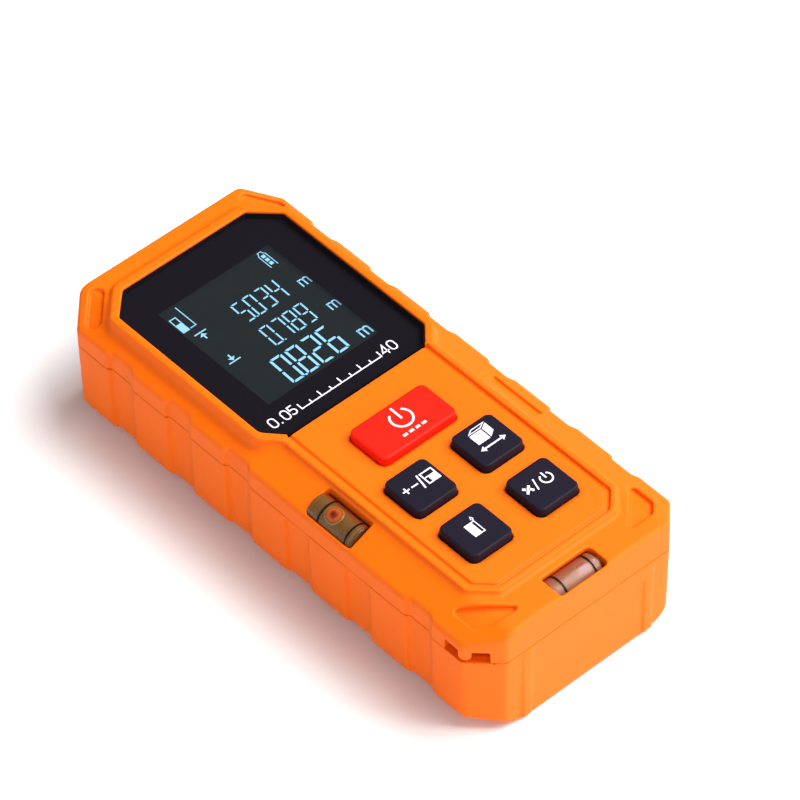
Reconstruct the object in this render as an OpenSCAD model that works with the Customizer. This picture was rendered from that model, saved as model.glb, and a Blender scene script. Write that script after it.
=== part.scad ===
// Handheld laser distance meter, in millimetres.
// Origin at the middle of the underside, +Y out of the laser end, +Z up out of the keypad,
// +X to the right of somebody reading the display.

/* [Case] */
// Length of the case along the measuring direction
case_l = 112; // [110.5:0.5:114]
// Width of the case across its grips
case_w = 49; // [48.6:0.2:50]
// Height of the joint line between the two shells
split_z = 17.9; // [17.7:0.1:18.1]
// Height of the raised rim around the window and the keypad
rim_z = 26; // [25.8:0.1:26.6]
// Thickness of the shell walls
wall = 2; // [1.8:0.1:2.1]
// Size of the chamfer on the four corners, seen from above
corner = 5.4; // [5:0.1:5.8]
// Depth of the grip valleys in the long sides
grip_depth = 0.7; // [0.4:0.1:0.9]

/* [Keys] */
// Side of each square key
key_side = 9.3; // [8.6:0.1:9.6]
// Width of the measuring key
measure_w = 17.2; // [15:0.1:18]
// Height of the key tops above the underside
key_top_z = 26.8; // [26.4:0.1:27.4]
// Gap between a key and the edge of its opening
key_gap = 0.15; // [0.1:0.05:0.2]

/* [Display] */
// Width of the visible display area
lcd_view_w = 26; // [24:0.5:26.5]
// Length of the visible display area
lcd_view_l = 30; // [28:0.5:30.5]

/* [Levels] */
// Outside radius of the two bubble vials
vial_r = 2.45; // [2.3:0.05:2.5]

/* [Optics] */
// Radius of the receiving lens
lens_r = 6.6; // [6:0.1:6.8]
// Height of the two optical axes above the underside
optics_z = 9.9; // [9.7:0.1:10.1]

/* [Power] */
// Radius of one AAA cell
cell_r = 5.25; // [5.1:0.05:5.25]
// Length of one AAA cell with its button
cell_l = 44.5; // [44:0.1:44.7]

/* [Hidden] */
$fn = 48;
eps = 0.01;
fit = 0.05;

// Colours
orange = [1, 0.45, 0.13];
black_key = [0.17, 0.16, 0.2];
red_key = [0.95, 0.18, 0.11];
board_green = [0.08, 0.35, 0.2];
steel = [0.75, 0.75, 0.78];
brass = [0.8, 0.65, 0.3];

// Heights in the upper shell
side_top_z = 22;
flat_z = 24.9;
slope_x = 17.8;
plate_z = 25.4;
groove_z = plate_z - 0.5;
ceiling_z = 23.5;
lens_seat_z = 24.2;
lens_z = 25.45;
tape_t = 0.15;
recess_depth = 0.6;

// Outlines on the top, right-hand halves from the laser end to the near end
window_half = [[14.4, 49.6], [19.4, 44.65], [19.4, 6.85], [16.1, 3.1]];
rim_half = [[15.1, 51.3], [20.9, 45.5], [20.9, 6], [17.7, 2.6], [17.7, -44.1], [13.5, -48.4]];
keypad_half = [[16.4, 3.1], [16.4, -43.9], [13, -47.3]];
plate_half = [[15.6, 3.1], [15.6, -43.4], [12.6, -46.5]];

// Grip valleys
grip_pitch = 15.7;
grip_floor = 4.7;
grip_steep = 0.8;
grip_soft = 1.5;

// Display stack
lcd_mid_y = 26.7;
lcd_glass_w = lcd_view_w + 4.4;
lcd_glass_l = lcd_view_l + 5.2;
lcd_z = 23.9;
lcd_t = 1.7;
frame_w = lcd_glass_w + 2.8;
frame_l = lcd_glass_l + 2.8;
board_z = 18.6;
board_t = 1.2;
board_top = board_z + board_t;
view_open_w = frame_w + 0.4;
view_open_l = frame_l + 0.4;

// Keys: across, along
key_x = 7.75;
measure_at = [0, -9];
measure_l = 9.3;
units_at = [key_x, -22.1];
memory_at = [-key_x, -22.1];
clear_at = [key_x, -36];
reference_at = [-key_x, -36];
key_places = [measure_at, units_at, memory_at, clear_at, reference_at];
key_round = 1.4;
flange_z = 22.7;
flange_t = 0.7;
flange_out = 0.8;
stem_r = 1.6;
switch_z = board_top;
switch_h = 1.5;
switch_side = 4.6;
plunger_r = 1.25;
plunger_top = 21.9;
mat_z = 21.6;
mat_t = 0.5;

// Vials
side_vial_at = [-21.25, -15.8, 20.4];
side_vial_l = 11.4;
end_vial_at = [0, -52.75, 21.2];
end_vial_l = 11;
bore_r = vial_r - 0.5;
bubble_r = 0.95;
bubble_track = 3.4;
side_bubble_off = 1;
end_bubble_off = 1.2;
vial_wall = 0.7;
plug_l = 1.2;

// Screws
screw_places = [[18.2, 46], [-18.2, 46], [18.2, -40], [-18.2, -40]];
boss_r = 2.6;
boss_z = 12;
screw_seat_z = 7;
screw_r = 0.95;
head_r = 1.85;
head_t = 1.3;
post_places = [[14.6, 1.2], [-14.6, 1.2], [14.6, -43.6], [-14.6, -43.6]];
post_r = 1.9;
small_screw_r = 0.6;
small_head_r = 1.3;

// Battery bay
bay_w = 22.4;
bay_y0 = -51.5;
bay_y1 = -2.5;
bay_top = 12.7;
bay_skin = 1.2;
cell_x = 5.4;
cell_z = 7.05;
button_r = 1.9;
button_l = 0.9;
contact_t = 0.35;
contact_w = 8;
contact_z0 = 3.6;
contact_z1 = 11.2;
spring_r = 2.2;
spring_wire = 0.25;
spring_turns = 4;
spring_room = bay_y1 - bay_y0 - 2 * contact_t - cell_l;
door_y0 = -50;
door_y1 = -3;
door_w = 24.8;
door_t = 1.5;
door_lip_t = 0.75;
door_gap = 0.15;
floor_t = 1.4;

// Optics
receiver_x = 5.6;
laser_x = -9.4;
bezel_w = 31;
bezel_z0 = 3.3;
bezel_z1 = 16.5;
bezel_t = 1.2;
tube_wall = 0.9;
barrel_r = 3;
holder_y0 = 25;
optics_y1 = case_l / 2 - wall - 0.1;
ear_z = 4;
ear_t = 2;
ear_places = [[-17.6, 34], [16.8, 34], [-4.6, 21.5]];

// Lanyard eye
eye_at = [-23.6, -50.5];
eye_post_r = 1.2;
eye_outer_r = 4.25;
eye_fill_r = 5.7;
eye_z = 20.3;

// A full outline from its right-hand half
function mirrored(half) =
  concat(half, [for (i = [len(half) - 1:-1:0]) [-half[i][0], half[i][1]]]);

// Corner points of a rectangle with rounded corners
function rounded(w, l, r, steps = 5) = [
  for (q = [0:3])
    for (i = [0:steps])
      let (a = 90 * q + 90 * i / steps)
      let (cx = (q == 0 || q == 3 ? 1 : -1) * (w / 2 - r), cy = (q < 2 ? 1 : -1) * (l / 2 - r))
      [cx + r * cos(a), cy + r * sin(a)]
];

// A flat outline raised between two heights
module raise(z0, z1) {
  translate([0, 0, z0]) linear_extrude(z1 - z0) children();
}

// An outline drawn in X and Z, run along Y about the middle
module along_y(l) {
  rotate([90, 0, 0]) linear_extrude(l, center = true) children();
}

// An outline drawn in Y and Z, run along X about the middle
module along_x(w) {
  rotate([90, 0, 90]) linear_extrude(w, center = true) children();
}

// A round bar along Y from y0 to y1
module bar_y(r, x, z, y0, y1) {
  translate([x, y0, z]) rotate([-90, 0, 0]) cylinder(r = r, h = y1 - y0);
}

// A box between two corners
module block(low, high) {
  translate(low) cube(high - low);
}

// The eight-sided outline of the case, drawn in by a distance
module case_outline(inset = 0) {
  x = case_w / 2 - inset;
  y = case_l / 2 - inset;
  c = corner - inset * (2 - sqrt(2));
  polygon(mirrored([[x - c, y], [x, y - c], [x, c - y], [x - c, -y]]));
}

// One row of grip valleys down a long side, leaving out the numbered ones
module grip_valleys(side, z0, z1, left_out = []) {
  half = grip_floor / 2;
  for (i = [0:5])
    if (len(search(i, left_out)) == 0)
      translate([side * case_w / 2, (2.5 - i) * grip_pitch, 0])
        raise(z0, z1)
          polygon([
            [side, half + grip_steep], [0, half + grip_steep], [-side * grip_depth, half],
            [-side * grip_depth, -half], [0, -half - grip_soft], [side, -half - grip_soft]
          ]);
}

// A Phillips screw head down, its seat at z = 0, its shank pointing up
module screw(shank_r, shank_l, r, t) {
  difference() {
    union() {
      translate([0, 0, -t]) cylinder(r = r, h = t);
      translate([0, 0, -eps]) cylinder(r = shank_r, h = shank_l + eps);
    }
    for (a = [0, 90])
      rotate(a) translate([0, 0, -t]) cube([r * 1.2, r * 0.28, t * 1.1], center = true);
  }
}

// A rounded channel cut for a vial lying along Y, open upwards
module vial_pocket(l) {
  r = vial_r + fit;
  bar_y(r, 0, 0, -l / 2 - fit, l / 2 + fit);
  translate([-r, -l / 2 - fit, 0]) cube([2 * r, l + 2 * fit, 6]);
}

module upper_shell() {
  color(orange)
    difference() {
      union() {
        difference() {
          upper_outside();
          upper_hollow();
        }
        upper_inside_walls();
      }
      upper_openings();
    }
}

// The outside of the upper shell with its slopes and raised rim
module upper_outside() {
  half_w = case_w / 2;
  difference() {
    union() {
      intersection() {
        raise(split_z, flat_z) case_outline();
        along_y(case_l + 2)
          polygon(mirrored([[half_w, split_z], [half_w, side_top_z], [slope_x, flat_z]]));
      }
      raise(ceiling_z, rim_z)
        intersection() {
          polygon(mirrored(rim_half));
          case_outline(1);
        }
    }
    grip_valleys(1, split_z - 1, flat_z);
    grip_valleys(-1, split_z - 1, flat_z, [3, 4]);
  }
}

// The space inside the upper shell, following its slopes
module upper_hollow() {
  half_w = case_w / 2 - wall;
  intersection() {
    raise(split_z - 1, ceiling_z) case_outline(wall);
    along_y(case_l)
      polygon(mirrored([[half_w, split_z - 1], [half_w, side_top_z - 1.1], [slope_x - 1.3, ceiling_z]]));
  }
  difference() {
    raise(split_z - 1, split_z + 1.1) case_outline(wall - 0.75);
    block([-case_w / 2, -22.8, split_z - 2], [-17, -8.8, split_z + 2]);
  }
}

// Bosses, posts and the walls around the vials and the lanyard eye
module upper_inside_walls() {
  for (p = screw_places)
    translate([p[0], p[1], boss_z + fit]) cylinder(r = boss_r, h = side_top_z - boss_z);
  for (p = post_places)
    translate([p[0], p[1], board_top]) cylinder(r = post_r, h = ceiling_z - board_top + eps);
  block([-22.1, -22.6, 17], [-17.9, -9, 21.5]);
  block([-23.9, -22.6, split_z], [-17.9, -9, 21.5]);
  block([-6.7, -53.9, 17.6], [6.7, -49.2, 24]);
  block([-6.7, -55.5, split_z], [6.7, -49.2, 24]);
  intersection() {
    raise(split_z, side_top_z) intersection() {
      case_outline();
      translate(eye_at) circle(r = eye_fill_r);
    }
    upper_outside();
  }
}

// Everything cut through the upper shell
module upper_openings() {
  raise(lens_seat_z, rim_z + 1) polygon(mirrored(window_half));
  difference() {
    raise(groove_z, rim_z + 1) polygon(mirrored(keypad_half));
    raise(groove_z - 1, plate_z) polygon(mirrored(plate_half));
  }
  translate([0, lcd_mid_y, 0])
    raise(board_z, lens_seat_z + 1) square([view_open_w, view_open_l], center = true);
  translate(measure_at)
    raise(flat_z - 3, rim_z) polygon(rounded(measure_w + 2 * key_gap, measure_l + 2 * key_gap, key_round));
  for (p = [units_at, memory_at, clear_at, reference_at])
    translate(p)
      raise(flat_z - 3, rim_z) polygon(rounded(key_side + 2 * key_gap, key_side + 2 * key_gap, key_round));
  translate(side_vial_at) vial_pocket(side_vial_l);
  translate(end_vial_at) rotate(90) vial_pocket(end_vial_l);
  block([18.9, -21.5, 22.6], [21.4, -10, 25]);
  corner_recesses();
  for (p = screw_places)
    translate([p[0], p[1], boss_z - 1]) cylinder(r = screw_r + fit, h = 8);
  for (p = post_places)
    translate([p[0], p[1], board_z]) cylinder(r = small_screw_r + fit, h = 4);
  translate([eye_at[0], eye_at[1], split_z - 1])
    difference() {
      cylinder(r = eye_outer_r, h = eye_z - split_z + 1);
      translate([0, 0, 1.5]) cylinder(r = eye_post_r, h = eye_z);
    }
}

// Shallow recesses in the four corners of the top, as deep on the slopes as on the flat
module corner_recesses() {
  near = [[20.3, -44.8], [21.1, -45.1], [21.1, -49.6], [18.4, -52.3], [14.1, -52], [13.7, -51.5]];
  difference() {
    for (side = [-1, 1]) {
      translate([side * 20, 50.3, 0])
        rotate(-side * 45) raise(side_top_z - 2, rim_z) polygon(rounded(8.5, 2.7, 1.3));
      raise(side_top_z - 2, rim_z) polygon([for (p = near) [side * p[0], p[1]]]);
    }
    translate([0, 0, -recess_depth])
      along_y(case_l)
        polygon(mirrored([[case_w / 2, 0], [case_w / 2, side_top_z], [slope_x, flat_z]]));
  }
}

module lower_shell() {
  color(orange)
    difference() {
      union() {
        difference() {
          lower_outside();
          lower_hollow();
        }
        lower_inside_walls();
        shell_lip();
      }
      lower_openings();
    }
}

// The drafted outside of the lower shell with its rounded-off belly and end ribs
module lower_outside() {
  half_w = case_w / 2;
  half_l = case_l / 2;
  intersection() {
    difference() {
      raise(0, split_z) case_outline();
      grip_valleys(1, -1, split_z + 1);
      grip_valleys(-1, -1, split_z + 1);
    }
    along_y(case_l + 2)
      polygon(mirrored([
        [13.5, 0], [22.3, 1.8], [23.5, 2.6], [half_w - 0.35, 4.3], [half_w, split_z]
      ]));
    along_x(case_w + 2)
      polygon(mirrored([[half_l - 1.1, 0], [half_l - 0.25, 0.9], [half_l, split_z]]));
  }
  for (side = [-1, 1])
    block([side * 14.2 - 1.1, -half_l, 0.9], [side * 14.2 + 1.1, 1 - half_l, split_z - 0.4]);
}

// The space inside the lower shell
module lower_hollow() {
  half_w = case_w / 2 - wall;
  intersection() {
    raise(0, split_z + 1) case_outline(wall);
    along_y(case_l)
      polygon(mirrored([
        [13.8, floor_t + 0.4], [half_w - 2, 3.6], [half_w - 0.5, 5.5], [half_w, split_z + 1]
      ]));
  }
}

// A thin lip that centres the upper shell on the lower one
module shell_lip() {
  difference() {
    raise(split_z - 1.5, split_z + 1) case_outline(wall - 0.7);
    raise(split_z - 2, split_z + 2) case_outline(wall);
    block([-case_w / 2, -23, split_z - 2], [-17, -8.6, split_z + 2]);
    block([-7, -case_l / 2, split_z - 2], [7, -49, split_z + 2]);
    translate([eye_at[0], eye_at[1], split_z]) cylinder(r = eye_fill_r + 0.5, h = 2);
    block([-bezel_w / 2, 50, split_z], [bezel_w / 2, case_l / 2, split_z + 2]);
  }
}

// Battery bay, screw columns, optics standoffs and the floor of the lanyard eye
module lower_inside_walls() {
  bay_out = bay_w / 2 + bay_skin;
  block([-bay_out, bay_y0 - bay_skin, 0.5], [bay_out, bay_y1 + bay_skin, bay_top + bay_skin]);
  for (p = screw_places)
    translate([p[0], p[1], 2.2]) cylinder(r = boss_r + 0.5, h = boss_z - 2.2);
  for (p = ear_places)
    translate([p[0], p[1], 1]) cylinder(r = 2.3, h = ear_z - 1);
  intersection() {
    raise(split_z - 2, split_z) intersection() {
      case_outline(0.3);
      translate(eye_at) circle(r = eye_fill_r);
    }
    lower_outside();
  }
}

// Everything cut through the lower shell
module lower_openings() {
  open_y0 = door_y0 - door_gap;
  open_y1 = door_y1 + door_gap;
  open_w = door_w + 2 * door_gap;
  block([-bay_w / 2, bay_y0, floor_t], [bay_w / 2, bay_y1, bay_top]);
  block([-bay_w / 2, open_y0, -1], [bay_w / 2, open_y1, floor_t + 1]);
  block([-open_w / 2, open_y0, -1], [open_w / 2, open_y1, door_lip_t + 0.1]);
  for (x = [-cell_x, cell_x])
    block([x - 1.2, bay_y1 - 1, bay_top - 2], [x + 1.2, bay_y1, bay_top + 3]);
  for (p = screw_places) {
    translate([p[0], p[1], -1]) cylinder(r = head_r + 0.15, h = screw_seat_z + 1);
    translate([p[0], p[1], 1]) cylinder(r = screw_r + 0.2, h = boss_z);
  }
  for (p = ear_places)
    translate([p[0], p[1], floor_t + 0.4]) cylinder(r = small_screw_r + fit, h = 4);
  bezel_mid = (bezel_z0 + bezel_z1) / 2;
  translate([0, case_l / 2, bezel_mid])
    cube([bezel_w + 0.1, 2 * (bezel_t + 0.35), bezel_z1 - bezel_z0 + 0.1], center = true);
  translate([0, case_l / 2 - wall, bezel_mid])
    cube([bezel_w - 1.6, 8, bezel_z1 - bezel_z0 - 1.6], center = true);
}

// The door tips about its bottom edge at the tab end; its latch tongue is drawn relaxed
module battery_door() {
  color(orange)
    difference() {
      union() {
        block([-door_w / 2, door_y0, 0], [door_w / 2, door_y1, door_lip_t]);
        block([-bay_w / 2 + door_gap, door_y0, 0], [bay_w / 2 - door_gap, door_y1, door_t]);
        for (side = [-1, 1])
          block([side * 10.4 - 0.6, door_y0 - 1.3, door_t], [side * 10.4 + 0.6, door_y0 + 1.5, door_t + 0.8]);
        for (side = [-1, 1])
          block([side * 10.4 - 0.6, door_y0, door_t - 0.5], [side * 10.4 + 0.6, door_y0 + 1.5, door_t + 0.5]);
        block([-1.6, door_y1 - 0.9, door_t - 0.2], [1.6, door_y1 - 0.1, door_t + 2]);
        block([-1.6, door_y1 - 0.5, door_t + 0.1], [1.6, door_y1 + 0.05, door_t + 0.7]);
      }
      for (i = [0:4])
        block([-4, door_y1 - 4.4 - 1.4 * i, -1], [4, door_y1 - 3.7 - 1.4 * i, 0.3]);
    }
}

module shell_screws() {
  color(steel)
    for (p = screw_places)
      translate([p[0], p[1], screw_seat_z]) screw(screw_r, 10, head_r, head_t);
}

module display_lens() {
  color([0.1, 0.1, 0.13])
    raise(lens_seat_z + tape_t, lens_z)
      polygon(mirrored([for (p = window_half) [p[0] - 0.1, p[1] + (p[1] < 20 ? 0.1 : -0.1)]]));
}

module lens_tape() {
  color([0.3, 0.3, 0.3])
    difference() {
      raise(lens_seat_z, lens_seat_z + tape_t)
        polygon(mirrored([for (p = window_half) [p[0] - 0.5, p[1] + (p[1] < 20 ? 0.5 : -0.5)]]));
      translate([0, lcd_mid_y, 0])
        raise(lens_seat_z - 1, lens_seat_z + 1) square([view_open_w, view_open_l], center = true);
    }
}

module lcd_panel() {
  color([0.2, 0.24, 0.26])
    translate([0, lcd_mid_y, 0])
      raise(lcd_z - lcd_t, lcd_z) square([lcd_glass_w, lcd_glass_l], center = true);
}

module lcd_frame() {
  color([0.85, 0.85, 0.82])
    translate([0, lcd_mid_y, 0])
      difference() {
        raise(board_top, lcd_z + 0.1) square([frame_w, frame_l], center = true);
        raise(board_top - 1, lcd_z + 1) square([lcd_glass_w + 0.1, lcd_glass_l + 0.1], center = true);
      }
}

module lcd_backlight() {
  color([0.9, 0.95, 1])
    translate([0, lcd_mid_y + 1.3, 0])
      raise(board_top + 0.6, lcd_z - lcd_t) square([lcd_glass_w - 0.4, lcd_glass_l - 3], center = true);
}

module zebra_strip() {
  color([0.95, 0.75, 0.8])
    translate([0, lcd_mid_y - lcd_glass_l / 2 + 1.1, 0])
      raise(board_top, lcd_z - lcd_t) square([lcd_glass_w - 3, 1.8], center = true);
}

// A key cap with a flange that keeps it in the case and a stem down to its switch
module key(w, l) {
  chamfer = 0.5;
  raise(flange_z, key_top_z - chamfer) polygon(rounded(w, l, key_round));
  raise(key_top_z - chamfer - eps, key_top_z)
    polygon(rounded(w - 2 * chamfer, l - 2 * chamfer, key_round - chamfer));
  raise(flange_z, flange_z + flange_t)
    polygon(rounded(w + 2 * flange_out, l + 2 * flange_out, key_round));
  translate([0, 0, plunger_top]) cylinder(r = stem_r, h = flange_z - plunger_top + eps);
}

module key_measure() {
  color(red_key) translate(measure_at) key(measure_w, measure_l);
}

module key_units() {
  color(black_key) translate(units_at) key(key_side, key_side);
}

module key_memory() {
  color(black_key) translate(memory_at) key(key_side, key_side);
}

module key_clear() {
  color(black_key) translate(clear_at) key(key_side, key_side);
}

module key_reference() {
  color(black_key) translate(reference_at) key(key_side, key_side);
}

// The moving pin of one push switch
module plunger(p) {
  color([0.9, 0.88, 0.8])
    translate([p[0], p[1], switch_z + 0.8]) cylinder(r = plunger_r, h = plunger_top - switch_z - 0.8);
}

module plunger_measure() plunger(measure_at);
module plunger_units() plunger(units_at);
module plunger_memory() plunger(memory_at);
module plunger_clear() plunger(clear_at);
module plunger_reference() plunger(reference_at);

module switch_bodies() {
  color([0.25, 0.25, 0.27])
    for (p = key_places)
      translate([p[0], p[1], switch_z])
        difference() {
          raise(0, switch_h) square(switch_side, center = true);
          translate([0, 0, 0.2]) cylinder(r = plunger_r + fit, h = switch_h);
        }
}

// A rubber web on short walls, open over each switch
module keypad_mat() {
  mat_w = 31;
  mat_y0 = -41.3;
  mat_y1 = -3.4;
  color([0.3, 0.3, 0.32])
    difference() {
      block([-mat_w / 2, mat_y0, board_top], [mat_w / 2, mat_y1, mat_z + mat_t]);
      block([-mat_w / 2 + 1, mat_y0 + 1, board_top - 1], [mat_w / 2 - 1, mat_y1 - 1, mat_z]);
      for (p = key_places)
        translate(p) raise(mat_z - 1, mat_z + 2) square(switch_side + 1, center = true);
    }
}

// A clear tube closed at one end, lying along Y about the origin
module vial_tube(l) {
  difference() {
    bar_y(vial_r, 0, 0, -l / 2, l / 2);
    bar_y(bore_r, 0, 0, vial_wall - l / 2, l / 2 + 1);
  }
}

module vial_plug(l) {
  bar_y(bore_r, 0, 0, l / 2 - plug_l, l / 2);
}

// The spirit, cut away along the track where the bubble runs
module vial_fluid(l) {
  difference() {
    bar_y(bore_r, 0, 0, vial_wall - l / 2, l / 2 - plug_l);
    bar_y(bubble_r + 0.1, 0, bore_r - bubble_r, -bubble_track, bubble_track);
  }
}

// The bubble, resting a little off the middle of its vial
module vial_bubble(offset) {
  translate([0, offset, bore_r - bubble_r - 0.05]) sphere(r = bubble_r);
}

module side_vial_tube() {
  color([0.75, 0.85, 0.75, 0.5]) translate(side_vial_at) vial_tube(side_vial_l);
}

module side_vial_plug() {
  color([0.9, 0.9, 0.85]) translate(side_vial_at) vial_plug(side_vial_l);
}

module side_vial_fluid() {
  color([0.45, 0.35, 0.15, 0.7]) translate(side_vial_at) vial_fluid(side_vial_l);
}

module side_bubble() {
  color([1, 0.9, 0.7]) translate(side_vial_at) vial_bubble(side_bubble_off);
}

module end_vial_tube() {
  color([0.75, 0.85, 0.75, 0.5]) translate(end_vial_at) rotate(90) vial_tube(end_vial_l);
}

module end_vial_plug() {
  color([0.9, 0.9, 0.85]) translate(end_vial_at) rotate(90) vial_plug(end_vial_l);
}

module end_vial_fluid() {
  color([0.75, 0.5, 0.4, 0.7]) translate(end_vial_at) rotate(90) vial_fluid(end_vial_l);
}

module end_bubble() {
  color([1, 0.9, 0.7]) translate(end_vial_at) rotate(90) vial_bubble(-end_bubble_off);
}

// The black panel in the laser end, with a hole for each optical path
module front_bezel() {
  y1 = case_l / 2 - 0.3;
  color([0.06, 0.06, 0.07])
    difference() {
      block([-bezel_w / 2, y1 - bezel_t, bezel_z0], [bezel_w / 2, y1, bezel_z1]);
      bar_y(lens_r - 0.6, receiver_x, optics_z, y1 - 3, y1 + 1);
      bar_y(2.2, laser_x, optics_z, y1 - 3, y1 + 1);
      bar_y(3, laser_x, optics_z, y1 - 3, y1 - bezel_t / 2);
    }
}

module laser_window() {
  y1 = case_l / 2 - 0.3 - bezel_t / 2;
  color([0.7, 0.8, 0.9, 0.5]) bar_y(2.95, laser_x, optics_z, y1 - 0.6, y1);
}

// A plano-convex lens, flat side out
module receiver_lens() {
  edge_t = 1.6;
  dome_r = 16;
  sag = dome_r - sqrt(dome_r * dome_r - lens_r * lens_r);
  back_y = optics_y1 - edge_t - sag;
  color([0.75, 0.85, 0.95, 0.5])
    intersection() {
      bar_y(lens_r, receiver_x, optics_z, back_y - 1, optics_y1);
      translate([receiver_x, back_y + dome_r, optics_z]) sphere(r = dome_r);
    }
}

// The block that keeps the laser and the receiving lens parallel
module optics_holder() {
  lens_seat_y = optics_y1 - 3.2;
  left = ear_places[0];
  right = ear_places[1];
  back = ear_places[2];
  ear_top = ear_z + ear_t;
  color([0.12, 0.12, 0.13])
    difference() {
      union() {
        bar_y(lens_r + tube_wall, receiver_x, optics_z, holder_y0, optics_y1);
        bar_y(barrel_r + 1.3, laser_x, optics_z, holder_y0 + 8, optics_y1 - 1);
        block([laser_x, holder_y0 + 8, optics_z - 2.5], [receiver_x, optics_y1 - 1, optics_z + 2.5]);
        for (p = ear_places)
          translate([p[0], p[1], ear_z]) cylinder(r = 2.3, h = ear_t);
        block([left[0], left[1] - 2, ear_z], [laser_x, left[1] + 2, ear_top]);
        block([receiver_x + 4, right[1] - 2, ear_z], [right[0], right[1] + 2, ear_top]);
        block([back[0] - 2, back[1], ear_z], [back[0] + 2, holder_y0 + 11, ear_top]);
        block([back[0] - 2, holder_y0 + 8.5, ear_z], [back[0] + 2, holder_y0 + 11, optics_z]);
      }
      bar_y(lens_r + fit, receiver_x, optics_z, lens_seat_y, optics_y1 + 1);
      bar_y(lens_r - 0.9, receiver_x, optics_z, holder_y0 + 2, lens_seat_y + 1);
      bar_y(2.6, receiver_x, optics_z, holder_y0 - 1, holder_y0 + 3);
      bar_y(barrel_r + fit, laser_x, optics_z, holder_y0 + 7, optics_y1 + 1);
      for (p = ear_places)
        translate([p[0], p[1], ear_z - 1]) cylinder(r = small_screw_r + 0.15, h = ear_t + 2);
    }
}

module optics_screws() {
  color(steel)
    for (p = ear_places)
      translate([p[0], p[1], ear_z + ear_t]) mirror([0, 0, 1]) screw(small_screw_r, 4, small_head_r, 0.9);
}

module laser_barrel() {
  color(brass)
    difference() {
      bar_y(barrel_r, laser_x, optics_z, 34.5, 52);
      bar_y(1.9, laser_x, optics_z, 33, 53);
      bar_y(2.75, laser_x, optics_z, 33, 37.1);
      bar_y(2.5, laser_x, optics_z, 48, 53);
    }
}

module collimator_lens() {
  color([0.75, 0.85, 0.95, 0.5]) bar_y(2.45, laser_x, optics_z, 48, 49.8);
}

// A small can with three legs
module laser_diode() {
  color(steel) {
    bar_y(2.7, laser_x, optics_z, 34.6, 35.8);
    bar_y(1.8, laser_x, optics_z, 35.7, 38.4);
    for (a = [90, 210, 330])
      bar_y(0.22, laser_x + cos(a), optics_z + sin(a), 28, 34.7);
  }
}

module receiver_filter() {
  color([0.6, 0.1, 0.1, 0.6]) bar_y(2.55, receiver_x, optics_z, holder_y0 + 0.9, holder_y0 + 1.8);
}

module detector() {
  color(steel) {
    bar_y(2.3, receiver_x, optics_z, holder_y0 - 1.9, holder_y0 + 0.8);
    for (a = [45, 225])
      bar_y(0.22, receiver_x + 1.1 * cos(a), optics_z + 1.1 * sin(a), holder_y0 - 4.6, holder_y0 - 1.8);
  }
}

// A small upright board behind the receiving tube
module detector_board() {
  y0 = holder_y0 - 3.3;
  color(board_green)
    difference() {
      block([receiver_x - 6.5, y0, optics_z - 5], [receiver_x + 6.5, y0 + 1.2, optics_z + 6.5]);
      for (a = [45, 225])
        bar_y(0.3, receiver_x + 1.1 * cos(a), optics_z + 1.1 * sin(a), y0 - 1, y0 + 2);
    }
}

// A flat flexible cable from the detector board up to the main board
module optics_cable() {
  t = 0.15;
  y = holder_y0 - 3.3;
  top = board_z - 1.2;
  bend = optics_z + 6.5;
  color([0.85, 0.6, 0.2])
    translate([receiver_x, 0, 0])
      along_x(6)
        polygon([
          [y, optics_z + 3], [y, bend - 0.5], [y - 2, bend], [y - 3, top], [y - 5.4, top],
          [y - 5.4, top - t], [y - 3 - t, top - t], [y - 2 - t, bend - t], [y - t, bend - 0.5 - t],
          [y - t, optics_z + 3]
        ]);
}

module cable_socket() {
  color([0.9, 0.9, 0.86])
    block([receiver_x - 4, holder_y0 - 9.6, board_z - 1.2], [receiver_x + 4, holder_y0 - 6, board_z]);
}

// The main circuit board, notched around the screw bosses
module main_board() {
  color(board_green)
    difference() {
      block([-17.1, -47, board_z], [17.1, 48, board_top]);
      for (p = screw_places)
        translate([p[0], p[1], board_z - 1]) cylinder(r = boss_r + 0.5, h = board_t + 2);
      for (p = post_places)
        translate([p[0], p[1], board_z - 1]) cylinder(r = small_screw_r + 0.15, h = board_t + 2);
    }
}

module board_screws() {
  color(steel)
    for (p = post_places)
      translate([p[0], p[1], board_z]) screw(small_screw_r, 3.6, small_head_r, 0.9);
}

// The measuring and display processor with its rows of legs
module processor() {
  at = [-3, -14, board_z];
  side = 9;
  color([0.1, 0.1, 0.11])
    translate(at) {
      raise(-1.3, -0.1) square(side, center = true);
      for (q = [0:3])
        rotate(90 * q)
          for (i = [-4:4])
            block([side / 2 - 0.2, 0.8 * i - 0.15, -0.3], [side / 2 + 0.9, 0.8 * i + 0.15, 0]);
    }
}

module crystal() {
  color(steel)
    translate([8, -12, board_z - 1.2]) raise(0, 1.2) polygon(rounded(3.2, 7, 1.4));
}

module buzzer() {
  color([0.08, 0.08, 0.09])
    translate([0, -36, board_z - 2.6])
      difference() {
        cylinder(r = 6, h = 2.6);
        translate([0, 0, -1]) cylinder(r = 1, h = 1.6);
      }
}

module capacitors() {
  color([0.7, 0.55, 0.35])
    for (i = [0:5])
      translate([-12 + 4.2 * i, -24.5, board_z - 0.9]) raise(0, 0.9) square([1.2, 2.2], center = true);
}

// Two cells side by side, facing opposite ways
module battery_cells() {
  color([0.25, 0.45, 0.7])
    for (side = [-1, 1])
      translate([side * cell_x, (bay_y0 + bay_y1 - side * spring_room) / 2, cell_z])
        rotate([0, 0, side > 0 ? 180 : 0]) {
          bar_y(cell_r, 0, 0, -cell_l / 2, cell_l / 2 - button_l);
          bar_y(button_r, 0, 0, cell_l / 2 - button_l - eps, cell_l / 2);
        }
}

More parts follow.
